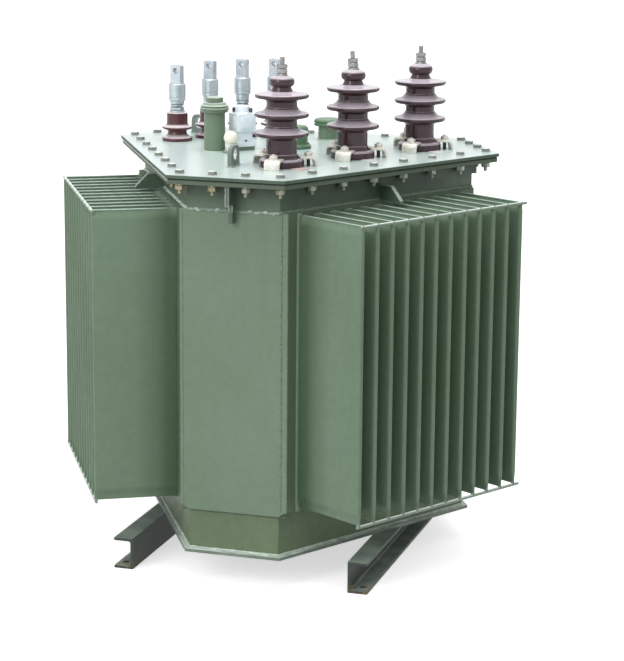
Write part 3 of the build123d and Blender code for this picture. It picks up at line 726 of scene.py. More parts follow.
def skinRings(bm, rings, closed=True):
    for lower, upper in zip(rings, rings[1:]):
        count = max(len(lower), len(upper))
        for index in range(count if closed else count - 1):
            ahead = (index + 1) % count
            corners = [lower[index % len(lower)], lower[ahead % len(lower)],
                       upper[ahead % len(upper)], upper[index % len(upper)]]
            corners = list(dict.fromkeys(corners))
            if len(corners) > 2:
                bm.faces.new(corners)


# Turned solid: (radius, height) points from the foot on the axis to the head on the axis
def turned(bm, profile, frameMatrix, segments=48):
    rings = []
    for radius, height in profile:
        if radius < 1e-7:
            rings.append([bm.verts.new(frameMatrix @ Vector((0, 0, height)))])
            continue
        ring = []
        for index in range(segments):
            angle = 2 * math.pi * index / segments
            spot = Vector((radius * math.cos(angle), radius * math.sin(angle), height))
            ring.append(bm.verts.new(frameMatrix @ spot))
        rings.append(ring)
    skinRings(bm, rings)


# Straight solid on an outline, with all its edges broken by a small bevel
def prism(bm, outline, frameMatrix, depth, bevel=0.0, segments=2):
    lower = [bm.verts.new(frameMatrix @ Vector((point[0], point[1], 0))) for point in outline]
    upper = [bm.verts.new(frameMatrix @ Vector((point[0], point[1], depth))) for point in outline]
    faces = [bm.faces.new(lower[::-1]), bm.faces.new(upper)]
    for index in range(len(lower)):
        ahead = (index + 1) % len(lower)
        faces.append(bm.faces.new((lower[index], lower[ahead], upper[ahead], upper[index])))
    if bevel:
        edges = list({edge for face in faces for edge in face.edges})
        bmesh.ops.bevel(bm, geom=edges, offset=bevel, segments=segments, affect="EDGES", profile=0.5,
                        clamp_overlap=True)


# Hexagon prism with its end corners turned off, as on nuts and bolt heads, by shares of its width
hexagonEnds = {"chamfer": 0.12, "drop": 0.06}


def hexagon(bm, acrossFlats, foot, head, frameMatrix):
    radius = acrossFlats / math.sqrt(3)
    inner = radius - hexagonEnds["chamfer"] * acrossFlats
    drop = hexagonEnds["drop"] * acrossFlats
    levels = [(0.0, foot), (inner, foot), (radius, foot + drop),
              (radius, head - drop), (inner, head), (0.0, head)]
    turned(bm, levels, frameMatrix, 6)


def rectangle(width, height):
    x, y = width / 2, height / 2
    return [(-x, -y), (x, -y), (x, y), (-x, y)]


def roundedPlate(width, height, corner):
    return softened(rectangle(width, height), corner, 4, closed=True)


# Profile of a plain disc between two heights
def disc(radius, foot, head):
    return [(0, foot), (radius, foot), (radius, head), (0, head)]


# Points on an arc of an ellipse, from a starting angle over a sweep
def arc(centre, size, start, sweep, steps):
    points = []
    for step in range(steps + 1):
        angle = math.radians(start + sweep * step / steps)
        points.append((centre[0] + size[0] * math.cos(angle), centre[1] + size[1] * math.sin(angle)))
    return points


# Shares of a run, from its first step to its end
def shares(steps):
    return [step / steps for step in range(1, steps + 1)]


def blob(size):
    bm = bmesh.new()
    bmesh.ops.create_icosphere(bm, subdivisions=2, radius=1.0)
    bmesh.ops.scale(bm, vec=size, verts=bm.verts)
    return bm


# Plate with a round hole: the outline is met by rays from the middle of the hole
def holedPlate(bm, outline, hole, frameMatrix, depth, count=64, bevel=0.0015):
    holeX, holeY, radius = hole
    centre = Vector((holeX, holeY))
    outer, inner, innerSoft, outerSoft = [], [], [], []
    points = [Vector(point) - centre for point in outline]
    for index in range(count):
        angle = 2 * math.pi * index / count
        ray = Vector((math.cos(angle), math.sin(angle)))
        best = 0.0
        for start, end in zip(points, points[1:] + points[:1]):
            run = end - start
            cross = ray.x * run.y - ray.y * run.x
            if abs(cross) < 1e-12:
                continue
            distance = (start.x * run.y - start.y * run.x) / cross
            share = (start.x * ray.y - start.y * ray.x) / cross
            if distance > 0 and -1e-6 <= share <= 1 + 1e-6:
                best = max(best, distance)
        outer.append(centre + ray * best)
        outerSoft.append(centre + ray * (best - bevel))
        inner.append(centre + ray * radius)
        innerSoft.append(centre + ray * (radius + bevel))
    rings = []
    for path, height in ((innerSoft, 0), (outerSoft, 0), (outer, bevel), (outer, depth - bevel),
                         (outerSoft, depth), (innerSoft, depth), (inner, depth - bevel), (inner, bevel)):
        rings.append([bm.verts.new(frameMatrix @ Vector((point.x, point.y, height))) for point in path])
    skinRings(bm, rings + rings[:1])


def standing(origin, turn=0.0):
    return Matrix.Translation(origin) @ Matrix.Rotation(math.radians(turn), 4, "Z")


# Upright sheet frame: local X along the angle, local Y up, thickness across
def upright(origin, angle, thickness):
    along = outward(angle)
    across = along.cross(upBy(1))
    turn = Matrix((along, upBy(1), across)).transposed().to_4x4()
    return Matrix.Translation(origin - across * thickness / 2) @ turn


# Geometry Nodes helpers
def newTree(name, sockets):
    tree = bpy.data.node_groups.new(name, "GeometryNodeTree")
    tree.interface.new_socket("Geometry", in_out="INPUT", socket_type="NodeSocketGeometry")
    for label, kind, value in sockets:
        socket = tree.interface.new_socket(label, in_out="INPUT", socket_type="NodeSocket" + kind)
        if value is not None:
            socket.default_value = value
    tree.interface.new_socket("Geometry", in_out="OUTPUT", socket_type="NodeSocketGeometry")
    return tree, tree.nodes.new("NodeGroupInput").outputs, tree.nodes.new("NodeGroupOutput").inputs


def endTree(tree, geometry, material, out):
    joined = addNode(tree, "GeometryNodeRealizeInstances", {"Geometry": geometry}).outputs["Geometry"]
    coated = addNode(tree, "GeometryNodeSetMaterial", {"Geometry": joined, "Material": material})
    feed(tree, out["Geometry"], coated.outputs["Geometry"])


def copiesOn(tree, points, shape, rotation):
    inputs = {"Points": points, "Instance": shape, "Rotation": rotation}
    return addNode(tree, "GeometryNodeInstanceOnPoints", inputs).outputs["Instances"]


def grow(name, tree, mesh, values):
    carrier = bpy.data.objects.new(name + "Carrier", mesh)
    scene.collection.objects.link(carrier)
    modifier = carrier.modifiers.new("grow", "NODES")
    modifier.node_group = tree
    for item in tree.interface.items_tree:
        if item.in_out == "INPUT" and item.name in values:
            modifier[item.identifier] = values[item.name]
    grown = bpy.data.meshes.new_from_object(carrier.evaluated_get(bpy.context.evaluated_depsgraph_get()))
    carrier.modifiers.remove(modifier)
    bpy.data.objects.remove(carrier)
    return grown


# A random value for each point, from a fixed seed
def chance(tree, least, most, seed):
    node = addNode(tree, "FunctionNodeRandomValue", data_type="FLOAT")
    feedById(tree, node, {"Min_001": least, "Max_001": most, "Seed": seed})
    return node.outputs[1]


# A row of cooling fins: the fin's own mesh is copied along the wall and turned to its side
def makeFinRow():
    sockets = [("Count", "Int", 12), ("Pitch", "Float", 0.05), ("Reach", "Float", 0.3),
               ("Side Angle", "Float", 0.0), ("Lean", "Float", 0.004), ("Seed", "Int", 1),
               ("Material", "Material", None)]
    tree, given, out = newTree("finRow", sockets)
    length = sums(tree, "MULTIPLY", sums(tree, "SUBTRACT", given["Count"], 1.0), given["Pitch"])
    start = vectorOf(tree, {"X": given["Reach"], "Y": sums(tree, "MULTIPLY", length, -0.5)})
    step = vectorOf(tree, {"Y": given["Pitch"]})
    line = {"Count": given["Count"], "Offset": step, "Start Location": start}
    row = addNode(tree, "GeometryNodeMeshLine", line, mode="OFFSET").outputs["Mesh"]
    least = sums(tree, "MULTIPLY", given["Lean"], -1.0)
    lean = vectorOf(tree, {"Z": chance(tree, least, given["Lean"], given["Seed"])})
    copies = copiesOn(tree, row, given["Geometry"], lean)
    turn = vectorOf(tree, {"Z": given["Side Angle"]})
    facing = addNode(tree, "GeometryNodeTransform", {"Geometry": copies, "Rotation": turn})
    endTree(tree, facing.outputs["Geometry"], given["Material"], out)
    return tree


# Copies of one shape on a cloud of points, each turned by the point's own angle and a little chance
def makeSetOnPoints():
    sockets = [("Shape", "Object", None), ("Chance Turn", "Float", 0.0), ("Seed", "Int", 1),
               ("Material", "Material", None)]
    tree, given, out = newTree("setOnPoints", sockets)
    source = {"Object": given["Shape"]}
    shape = addNode(tree, "GeometryNodeObjectInfo", source, transform_space="ORIGINAL")
    angle = addNode(tree, "GeometryNodeInputNamedAttribute", {"Name": "turn"}, data_type="FLOAT")
    extra = chance(tree, 0.0, given["Chance Turn"], given["Seed"])
    turn = vectorOf(tree, {"Z": sums(tree, "ADD", angle.outputs["Attribute"], extra)})
    copies = copiesOn(tree, given["Geometry"], shape.outputs["Geometry"], turn)
    endTree(tree, copies, given["Material"], out)
    return tree


# Weld bead: a rippled, uneven roll of metal along the edges of a path
def makeWeldBead():
    sockets = [("Width", "Float", 0.006), ("Ripple Pitch", "Float", 0.006), ("Ripple", "Float", 0.18),
               ("Uneven", "Float", 0.5), ("Wander", "Float", 0.0015), ("Step", "Float", 0.002),
               ("Material", "Material", None)]
    tree, given, out = newTree("weldBead", sockets)
    path = addNode(tree, "GeometryNodeMeshToCurve", {"Mesh": given["Geometry"]}).outputs["Curve"]
    spaced = {"Curve": path, "Length": given["Step"]}
    fine = addNode(tree, "GeometryNodeResampleCurve", spaced, mode="LENGTH").outputs["Curve"]
    where = addNode(tree, "GeometryNodeInputPosition").outputs[0]
    drift = addNode(tree, "ShaderNodeTexNoise", {"Vector": where, "Scale": 45.0}).outputs["Color"]
    centred = addNode(tree, "ShaderNodeVectorMath", {0: drift, 1: (0.5, 0.5, 0.5)}, operation="SUBTRACT")
    scaled = {0: centred.outputs[0], "Scale": given["Wander"]}
    moved = addNode(tree, "ShaderNodeVectorMath", scaled, operation="SCALE").outputs[0]
    shifted = addNode(tree, "GeometryNodeSetPosition", {"Geometry": fine, "Offset": moved})
    length = addNode(tree, "GeometryNodeSplineParameter").outputs["Length"]
    turns = sums(tree, "MULTIPLY", sums(tree, "DIVIDE", length, given["Ripple Pitch"]), 2 * math.pi)
    ripple = sums(tree, "MULTIPLY", sums(tree, "SINE", turns), given["Ripple"])
    rough = sums(tree, "SUBTRACT", noise(tree, where, 70.0, 2.0, 0.6), 0.5)
    lumps = sums(tree, "MULTIPLY", rough, given["Uneven"])
    swell = sums(tree, "ADD", sums(tree, "ADD", ripple, lumps), 1.0)
    radius = sums(tree, "MULTIPLY", given["Width"], 0.5)
    ring = addNode(tree, "GeometryNodeCurvePrimitiveCircle", {"Resolution": 8, "Radius": radius})
    sweep = addNode(tree, "GeometryNodeCurveToMesh", {
        "Curve": shifted.outputs["Geometry"], "Profile Curve": ring.outputs["Curve"],
        "Scale": swell, "Fill Caps": True,
    })
    endTree(tree, sweep.outputs["Mesh"], given["Material"], out)
    return tree


finRow = makeFinRow()
setOnPoints = makeSetOnPoints()
weldBead = makeWeldBead()


def pointCloud(name, points, turns=None):
    mesh = bpy.data.meshes.new(name)
    mesh.from_pydata([tuple(point) for point in points], [], [])
    attribute = mesh.attributes.new("turn", "FLOAT", "POINT")
    for index in range(len(points)):
        attribute.data[index].value = turns[index] if turns else 0.0
    return mesh


def scatter(name, bm, points, material, nodes=(), turns=None, chanceTurn=0.0, seed=1, smooth=32):
    template = bpy.data.objects.new(name + "Template", meshOf(bm, name + "Template"))
    scene.collection.objects.link(template)
    values = {"Shape": template, "Chance Turn": chanceTurn, "Seed": seed, "Material": material}
    mesh = grow(name, setOnPoints, pointCloud(name + "Points", points, turns), values)
    bpy.data.objects.remove(template)
    return placePiece(name, mesh, material, nodes, smooth)


def weld(name, paths, look, finish):
    points, edges = [], []
    for path in paths:
        start = len(points)
        points += [tuple(point) for point in path]
        edges += [(start + index, start + index + 1) for index in range(len(path) - 1)]
    mesh = bpy.data.meshes.new(name + "Path")
    mesh.from_pydata(points, edges, [])
    values = {"Width": look["width"], "Ripple Pitch": look["pitch"], "Ripple": look["ripple"],
              "Uneven": look["uneven"], "Wander": look["wander"], "Step": look["step"],
              "Material": finish}
    return placePiece(name, grow(name, weldBead, mesh, values), finish, smooth=60)


def ringPath(centre, radius, count=24):
    spots = []
    for index in range(count + 1):
        spots.append(Vector(centre) + outward(360 * index / count) * radius)
    return spots


print("node trees ready")

# Cooling fins: thin pressed sheets, closed flat at their heads and feet and bent into the wall
fins = {
    "count": 12, "pitch": 0.05, "depth": 0.208, "thickness": 0.0125, "noseRadius": 0.0055,
    "noseSteps": 8, "lip": 0.003, "headLip": 0.0038, "footLip": 0.009, "flare": 0.022,
    "flareSteps": 8, "flareRound": 0.4, "sink": 0.002, "lean": 0.005, "footGap": 0.008,
    "headGap": 0.006,
    "rootSteps": (0.0, 0.0015, 0.004, 0.008, 0.013, 0.019, 0.026, 0.036, 0.05, 0.104),
    "rootRun": 0.026, "rootSpread": 0.011, "rootShadeRun": 0.10, "rootShadeFade": 1.4, "rootShadeHeadFade": 0.03,
    "bead": 0.0027, "beadRise": 0.0006, "beadShort": 0.002, "beadSteps": 26,
    "beadWaves": ((0.05, 2.1), (0.04, 5.3)),
}


# Half thickness over the height of a fin: a flat lip at both ends that swells to the full width
def finHeights(foot, head):
    flare = []
    for step in range(fins["flareSteps"] + 1):
        share = step / fins["flareSteps"]
        quick = share * (2 - share)
        slow = share * share * (3 - 2 * share)
        swell = quick * fins["flareRound"] + slow * (1 - fins["flareRound"])
        half = (fins["lip"] + (fins["thickness"] - fins["lip"]) * swell) / 2
        flare.append((fins["flare"] * share, half))
    lip = fins["lip"] / 2
    heights = [(foot, lip)] + [(foot + fins["footLip"] + rise, half) for rise, half in flare]
    heights += [(head - fins["headLip"] - rise, half) for rise, half in reversed(flare)]
    return heights + [(head, lip)]


# Outline of a fin at one height: open root, flat sides and a round nose
def finOutline(half):
    radius = min(fins["noseRadius"], half * 0.98)
    side = [(-fins["sink"], half + fins["rootSpread"])]
    for run in fins["rootSteps"]:
        opening = max(0.0, 1 - run / fins["rootRun"])
        side.append((run, half + fins["rootSpread"] * opening ** 3))
    nose = []
    for step in range(fins["noseSteps"] + 1):
        angle = math.radians(90 - 180 * step / fins["noseSteps"])
        lift = math.sin(angle)
        bend = math.copysign(half - radius, lift) if abs(lift) > 1e-6 else 0.0
        nose.append((fins["depth"] - radius + radius * math.cos(angle), bend + radius * lift))
    return side + nose + [(x, -y) for x, y in reversed(side)]


def finMesh():
    bm = bmesh.new()
    # rootShade: painted shade, strongest at the wall, fading along the fin and out near the head
    rootShade = bm.verts.layers.float.new("rootShade")
    head = bandHead - fins["headGap"]
    rings = []
    for height, half in finHeights(bandFoot + fins["footGap"], head):
        headFade = min(1.0, (head - height) / fins["rootShadeHeadFade"])
        ring = []
        for x, y in finOutline(half):
            vert = bm.verts.new((x, y, height))
            vert[rootShade] = headFade * max(0.0, 1 - max(0.0, x) / fins["rootShadeRun"]) ** fins["rootShadeFade"]
            ring.append(vert)
        rings.append(ring)
    skinRings(bm, rings)
    bm.faces.new(rings[0][::-1])
    bm.faces.new(rings[-1])
    return meshOf(bm, "fin")


# Closing weld along the head of a fin
def finBeadMesh():
    bm = bmesh.new()
    radius = fins["bead"]
    length = fins["depth"] - fins["beadShort"]
    level = bandHead - fins["headGap"] - radius + fins["beadRise"]
    profile = [(0.0, 0.0)]
    for step in range(fins["beadSteps"] + 1):
        swell = 1 + sum(height * math.sin(step * rate) for height, rate in fins["beadWaves"])
        profile.append((radius * swell, length * step / fins["beadSteps"]))
    profile.append((0.0, length))
    turned(bm, profile, Matrix.Translation(upBy(level)) @ Matrix.Rotation(math.pi / 2, 4, "Y"), 8)
    return meshOf(bm, "finBead")


for seed, (side, angle) in enumerate(finnedSides.items(), start=3):
    values = {"Count": fins["count"], "Pitch": fins["pitch"], "Reach": band[0], "Lean": fins["lean"],
              "Side Angle": math.radians(angle), "Seed": seed, "Material": finPaint}
    row = grow(side + "Fins", finRow, finMesh(), values)
    placePiece(side + "Fins", row, finPaint, [side + "_cooling_fins"], smooth=40)
    values["Material"] = beadPaint
    row = grow(side + "FinBeads", finRow, finBeadMesh(), values)
    placePiece(side + "FinBeads", row, beadPaint, smooth=50)
print("fins grown:", 3 * fins["count"])

# Tack welds that hold the rods to the fin noses
tacks = {"length": 0.006, "width": 0.0045, "height": 0.0035, "back": 0.0045}


def noseTacks():
    points, turns = [], []
    low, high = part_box("rear_cooling_fins")
    for angle in finnedSides.values():
        for index in range(fins["count"]):
            step = (index - (fins["count"] - 1) / 2) * fins["pitch"]
            spot = outward(angle) * (band[0] + fins["depth"] - tacks["back"]) + outward(angle + 90) * step
            for z in (low.z, high.z):
                points.append(spot + upBy(z))
                turns.append(math.radians(angle))
    bm = blob((tacks["width"], tacks["length"], tacks["height"]))
    scatter("noseTacks", bm, points, tankPaint, turns=turns, chanceTurn=0.5, seed=4)


noseTacks()

# Folded edge of each fin wall, a thin lap standing proud beside the first fin
walls = {"lapFromCorner": 0.027, "lapWidth": 0.014, "proud": 0.005, "seat": 0.0005, "bevel": 0.0015}


def finWallLaps():
    bm = bmesh.new()
    wallHalf = (2 * band[1] - band[0]) / math.sqrt(3)
    edge = walls["lapFromCorner"] + walls["lapWidth"] / 2 - wallHalf
    outline = rectangle(walls["proud"] + 2 * walls["seat"], walls["lapWidth"])
    face = band[0] + walls["proud"] / 2 - walls["seat"]
    for angle in finnedSides.values():
        spot = outward(angle) * face + outward(angle + 90) * edge + upBy(bandFoot)
        prism(bm, outline, standing(spot, angle), bandHead - bandFoot, walls["bevel"])
    finishPiece("finWallLaps", bm, tankPaint)


finWallLaps()

# Cover bolts: heads and washers above, nuts and thread ends under the rim
coverBolts = {
    "longGaps": 7, "shortGaps": 3, "greyFrom": 5, "greyTo": 20,
    "insets": (0.041, 0.046, 0.023, 0.042, 0.023, 0.036), "slides": (0.002, 0.0075, 0.0, 0.0, 0.0, 0.0),
    "head": 0.0195, "headHeight": 0.0075, "washer": 0.0118, "washerHeight": 0.0016, "washerEdge": 0.0008,
    "ring": 0.0095, "ringHeight": 0.0045, "ringEdge": 0.0006, "nut": 0.0195, "nutHeight": 0.0122,
    "thread": 0.005, "threadLength": 0.0095, "threadPitch": 0.00175, "chanceTurn": 1.05,
}


def boltSpots(z):
    reaches = [cover[1], cover[0]] * 3
    corners = sideCorners([far - inset for far, inset in zip(reaches, coverBolts["insets"])], z)
    spots = []
    for side in range(6):
        gaps = coverBolts["longGaps"] if side % 2 else coverBolts["shortGaps"]
        slide = (corners[side] - corners[side - 1]).normalized() * coverBolts["slides"][side]
        for index in range(gaps):
            spots.append(corners[side - 1].lerp(corners[side], index / gaps) + slide)
    return spots


# Screw thread as close rings, from the foot up
def threadProfile(radius, length, pitch, depth=0.0011):
    profile = [(0.0, 0.0), (radius - depth, 0.0)]
    turns = int(length / pitch)
    for index in range(turns):
        profile.append((radius, (index + 0.5) * pitch))
        profile.append((radius - depth, (index + 1) * pitch))
    return profile + [(0.0, turns * pitch)]


def coverBoltRows():
    look = coverBolts
    chanceTurn = look["chanceTurn"]
    bm = bmesh.new()
    washer = disc(look["washer"], 0, look["washerHeight"])
    turned(bm, softened(washer, look["washerEdge"], 2), Matrix(), 24)
    hexagon(bm, look["head"], look["washerHeight"], look["washerHeight"] + look["headHeight"], Matrix())
    spots = boltSpots(coverTop)
    scatter("coverBoltHeads", bm, spots, boltZinc, chanceTurn=chanceTurn, seed=5)
    bm = bmesh.new()
    washerFoot = -look["washerHeight"]
    ringFoot = washerFoot - look["ringHeight"]
    nutFoot = ringFoot - look["nutHeight"]
    seat = [(0, ringFoot), (look["ring"], ringFoot), (look["ring"], washerFoot),
            (look["washer"], washerFoot), (look["washer"], 0), (0, 0)]
    turned(bm, softened(seat, look["ringEdge"], 2), Matrix(), 24)
    hexagon(bm, look["nut"], nutFoot, ringFoot, Matrix())
    drop = Matrix.Translation(upBy(nutFoot - look["threadLength"]))
    turned(bm, threadProfile(look["thread"], look["threadLength"], look["threadPitch"]), drop, 12)
    spots = boltSpots(rimFoot)
    grey = spots[look["greyFrom"]:look["greyTo"]]
    brass = spots[:look["greyFrom"]] + spots[look["greyTo"]:]
    scatter("rimNutsGrey", bm.copy(), grey, nutGrey, chanceTurn=chanceTurn, seed=9)
    scatter("rimNuts", bm, brass, nutBrass, chanceTurn=chanceTurn, seed=8)


coverBoltRows()

# Black rubber squeezed out of the joint at the corners of the cover, also standing for painted shade of
# the open gap between cover and rim
squeezeAndShade = {
    "width": 0.0052, "pitch": 0.03, "ripple": 0.05, "uneven": 0.7, "wander": 0.001, "step": 0.002,
    "run": 0.036,
}


def gasketSqueeze():
    low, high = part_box("cover_gasket")
    corners = tierCorners(reach("cover_gasket", "cover_gasket"), (low.z + high.z) / 2)
    paths = []
    for index, corner in enumerate(corners):
        before = (corners[index - 1] - corner).normalized() * squeezeAndShade["run"]
        after = (corners[(index + 1) % 6] - corner).normalized() * squeezeAndShade["run"]
        paths.append([corner + before, corner, corner + after])
    weld("gasketSqueeze", paths, squeezeAndShade, rubberAndGapShade)


gasketSqueeze()

# Darker, duller skin on the sawn edge of the cover as painted shade on its side faces, and a pale strip
# on the upper edge of the rim along the left side as painted highlight
coverEdge = {"proud": 0.0004, "wall": 0.003, "drop": 0.0006, "highlightSide": 5, "highlightInset": 0.0005}
rimLine = {
    "width": 0.0042, "pitch": 0.05, "ripple": 0.03, "uneven": 0.35, "wander": 0.0006, "step": 0.003,
}


def coverEdgeBand():
    low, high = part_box("cover_plate")
    outer = [reached + coverEdge["proud"] for reached in cover]
    inner = [reached - coverEdge["wall"] for reached in cover]
    bm = bmesh.new()
    rings = []
    for reaches, z in ((outer, low.z), (outer, high.z - coverEdge["drop"]),
                       (inner, high.z - coverEdge["drop"]), (inner, low.z)):
        rings.append([bm.verts.new(corner) for corner in tierCorners(reaches, z)])
    skinRings(bm, rings + rings[:1])
    finishPiece("coverEdgeBand", bm, coverEdgeShadePaint)
    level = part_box("rim_flange")[1].z - coverEdge["highlightInset"]
    corners = tierCorners(rim, level)
    side = coverEdge["highlightSide"]
    # Pale strip along the rim's left upper edge: painted highlight
    weld("rimLine", [[corners[side - 1], corners[side]]], rimLine, paleSheet)


coverEdgeBand()
print("cover bolted")

# Weld beads on the tank
seams = {
    "collar": {"width": 0.0075, "pitch": 0.007, "ripple": 0.16, "uneven": 1.2, "wander": 0.004,
               "step": 0.0022},
    "ledge": {"width": 0.010, "pitch": 0.008, "ripple": 0.18, "uneven": 1.1, "wander": 0.006,
              "step": 0.0022},
    "panel": {"width": 0.0045, "pitch": 0.012, "ripple": 0.25, "uneven": 0.9, "wander": 0.002,
              "step": 0.0025},
    "skirt": {"width": 0.009, "pitch": 0.007, "ripple": 0.14, "uneven": 0.8, "wander": 0.002,
              "step": 0.0022},
    "lap": {"width": 0.006, "pitch": 0.02, "ripple": 0.05, "uneven": 0.9, "wander": 0.003,
            "step": 0.0025},
    "trim": {"width": 0.005, "pitch": 0.005, "ripple": 0.16, "uneven": 0.7, "wander": 0.0012,
             "step": 0.0016},
    "thin": {"width": 0.003, "pitch": 0.012, "ripple": 0.2, "uneven": 0.9, "wander": 0.0015,
             "step": 0.0025},
    "dabs": (0.04, 0.10, 0.13, 0.22, 0.31, 0.36, 0.55, 0.60, 0.69, 0.72, 0.80, 0.84, 0.91, 0.96),
    "dab": (0.0068, 0.0034, 0.0038), "dabDrift": 0.03, "dabRise": 0.0015,
    "dabBeats": (2.3, 7.0, 4.1), "pitBeats": (2.4, 1.7), "panelInset": 0.016,
    "panelInsetLeft": 0.008, "panelSink": 0.0005, "endGap": 0.004, "pit": 0.0022, "pitRise": 0.0032,
    "pitGap": 0.0165, "pitDrift": 0.3, "pitSway": 0.001, "pitStart": 0.012, "pitMargin": 0.03,
    "pipAside": 0.0022, "pipLift": 0.45, "pipShare": 0.7, "lapShort": 0.004, "lapProud": 0.001,
    "lapDrop": 0.0005,
}


def collarWelds():
    top = tierCorners(collar, bandHead)
    plain = [[top[side - 1], top[side]] for side in (0, 2, 4)]
    finned = [[top[side - 1], top[side]] for side in (1, 3, 5)]
    weld("collarWeld", plain, seams["collar"], weldPaint)
    # Ledge welds in tank paint on the right and rear, and in paler paint on the left as painted
    # highlight; the plain-side dabs are painted highlight too
    weld("ledgeWeld", finned[:2], seams["ledge"], tankPaint)
    weld("brightLedgeWeld", finned[2:], seams["ledge"], highlightWeld)
    beat, sideBeat, riseBeat = seams["dabBeats"]
    for name, runs, finish in (("brightDabs", plain, highlightWeld), ("weldDabs", finned, weldPaint)):
        spots, turns = [], []
        for number, (start, end) in enumerate(runs):
            run = end - start
            for index, share in enumerate(seams["dabs"]):
                slide = (share + seams["dabDrift"] * math.sin(beat * index + sideBeat * number)) % 1.0
                rise = seams["dabRise"] * math.sin(riseBeat * index + number)
                spots.append(start + run * slide + upBy(rise))
                turns.append(math.atan2(run.y, run.x))
        scatter(name, blob(seams["dab"]), spots, finish, turns=turns)
    foot = tierCorners(skirt, plateTop)
    weld("skirtWeld", [foot + foot[:1]], seams["skirt"], highlightWeld)


# Seams near both edges of the plain panels, the right one with a row of pits and pips
def panelWelds():
    paths, thinPaths, pits, pips = [], [], [], []
    half = (2 * band[0] - band[1]) / math.sqrt(3)
    gap = seams["pitGap"]
    pitBeat, swayBeat = seams["pitBeats"]
    foot, head = upBy(bandFoot + seams["endGap"]), upBy(bandHead - seams["endGap"])
    for angle in plainSides.values():
        face = outward(angle) * (band[1] - seams["panelSink"])
        along = outward(angle + 90)
        right = face + along * (half - seams["panelInset"])
        left = face + along * (seams["panelInsetLeft"] - half)
        paths.append([right + foot, right + head])
        thinPaths.append([left + foot, left + head])
        for index in range(int((bandHead - bandFoot - seams["pitMargin"]) / gap)):
            step = (index + seams["pitDrift"] * math.sin(pitBeat * index)) * gap
            level = right + upBy(bandFoot + seams["pitStart"] + step)
            pits.append(level + along * seams["pitSway"] * math.sin(swayBeat * index))
            if index % 2 == 0:
                pips.append(level - along * seams["pipAside"] + upBy(gap * seams["pipLift"]))
    weld("panelSeams", paths, seams["panel"], tankPaint)
    weld("thinSeams", thinPaths, seams["thin"], tankPaint)
    pit = Vector((seams["pit"], seams["pit"], seams["pitRise"]))
    # Pits drawn as dark blobs in seam shade: painted shade of the pits
    scatter("seamPits", blob(pit), pits, seamShade)
    scatter("seamPips", blob(pit * seams["pipShare"]), pips, weldPaint)


# Painted shadow line where the lapped panels end over the skirt: a dark bead
def lapGaps():
    paths = []
    lap = (2 * band[0] - band[1]) / math.sqrt(3) - seams["lapShort"]
    for angle in plainSides.values():
        face = outward(angle) * (skirt[1] + seams["lapProud"]) + upBy(lapFoot - seams["lapDrop"])
        along = outward(angle + 90)
        paths.append([face - along * lap, face + along * lap])
    weld("lapGaps", paths, seams["lap"], seamShade)


collarWelds()
panelWelds()
lapGaps()
print("tank welded")

# High-voltage bushings: round foot, shouldered column, trumpet sheds and a bun cap
hv = {
    "foot": 0.0555, "footHeight": 0.020, "footChamfer": 0.005, "footEdge": 0.0018,
    "shoulder": 0.041, "shoulderFoot": 0.0225, "shoulderTop": 0.032, "column": 0.0375,
    "shed": 0.0665, "shedLevels": (0.080, 0.1265, 0.173), "rim": 0.0105, "rimRound": 0.0045,
    "rimTurn": (-80, 170), "drop": 0.005, "hollow": 0.0025, "underStart": 0.004, "underEnd": 0.0035,
    "rise": 0.012, "topRise": 0.005, "overEnd": 0.006, "overLift": 0.0006, "overCurve": 2.4,
    "lipStep": 0.0016, "neck": 0.028, "neckFoot": 0.1815, "neckTop": 0.1955, "neckWaist": 0.022,
    "neckBend": (0.002, 0.009), "cap": 0.031, "capTop": 0.2215, "capRound": 0.009,
    "capTurn": (-75, 140), "capMiddle": 0.42, "capHalf": 0.44,
    "capEdge": ((0.012, 0.001), (0.015, 0.0)),
}


# One shed: sagging underside, round rim and a top that climbs to the column, or to the neck on the last
def hvShed(level, last):
    look = hv
    under = level - look["rim"] / 2
    over = level + look["rim"] / 2 + look["overLift"]
    points = [(look["column"], under - look["drop"] - look["underStart"])]
    for share in shares(6):
        reachOut = look["column"] + (look["shed"] - look["underEnd"] - look["column"]) * share
        sag = look["drop"] * (1 - share) ** 2 + look["hollow"] * (1 - share) ** 5
        points.append((reachOut, under - sag))
    edge = look["rimRound"]
    points += arc((look["shed"] - edge, level), (edge, look["rim"] / 2), *look["rimTurn"], 6)
    rise = look["topRise"] if last else look["rise"]
    lip = 0.0 if last else look["lipStep"]
    inner = lip + (look["neck"] if last else look["column"])
    for share in shares(10):
        reachOut = inner + (look["shed"] - look["overEnd"] - inner) * (1 - share)
        points.append((reachOut, over + rise * share ** look["overCurve"]))
    if not last:
        points += [(inner, over + rise + lip), (inner - lip, over + look["overLift"] + rise + lip)]
    return points


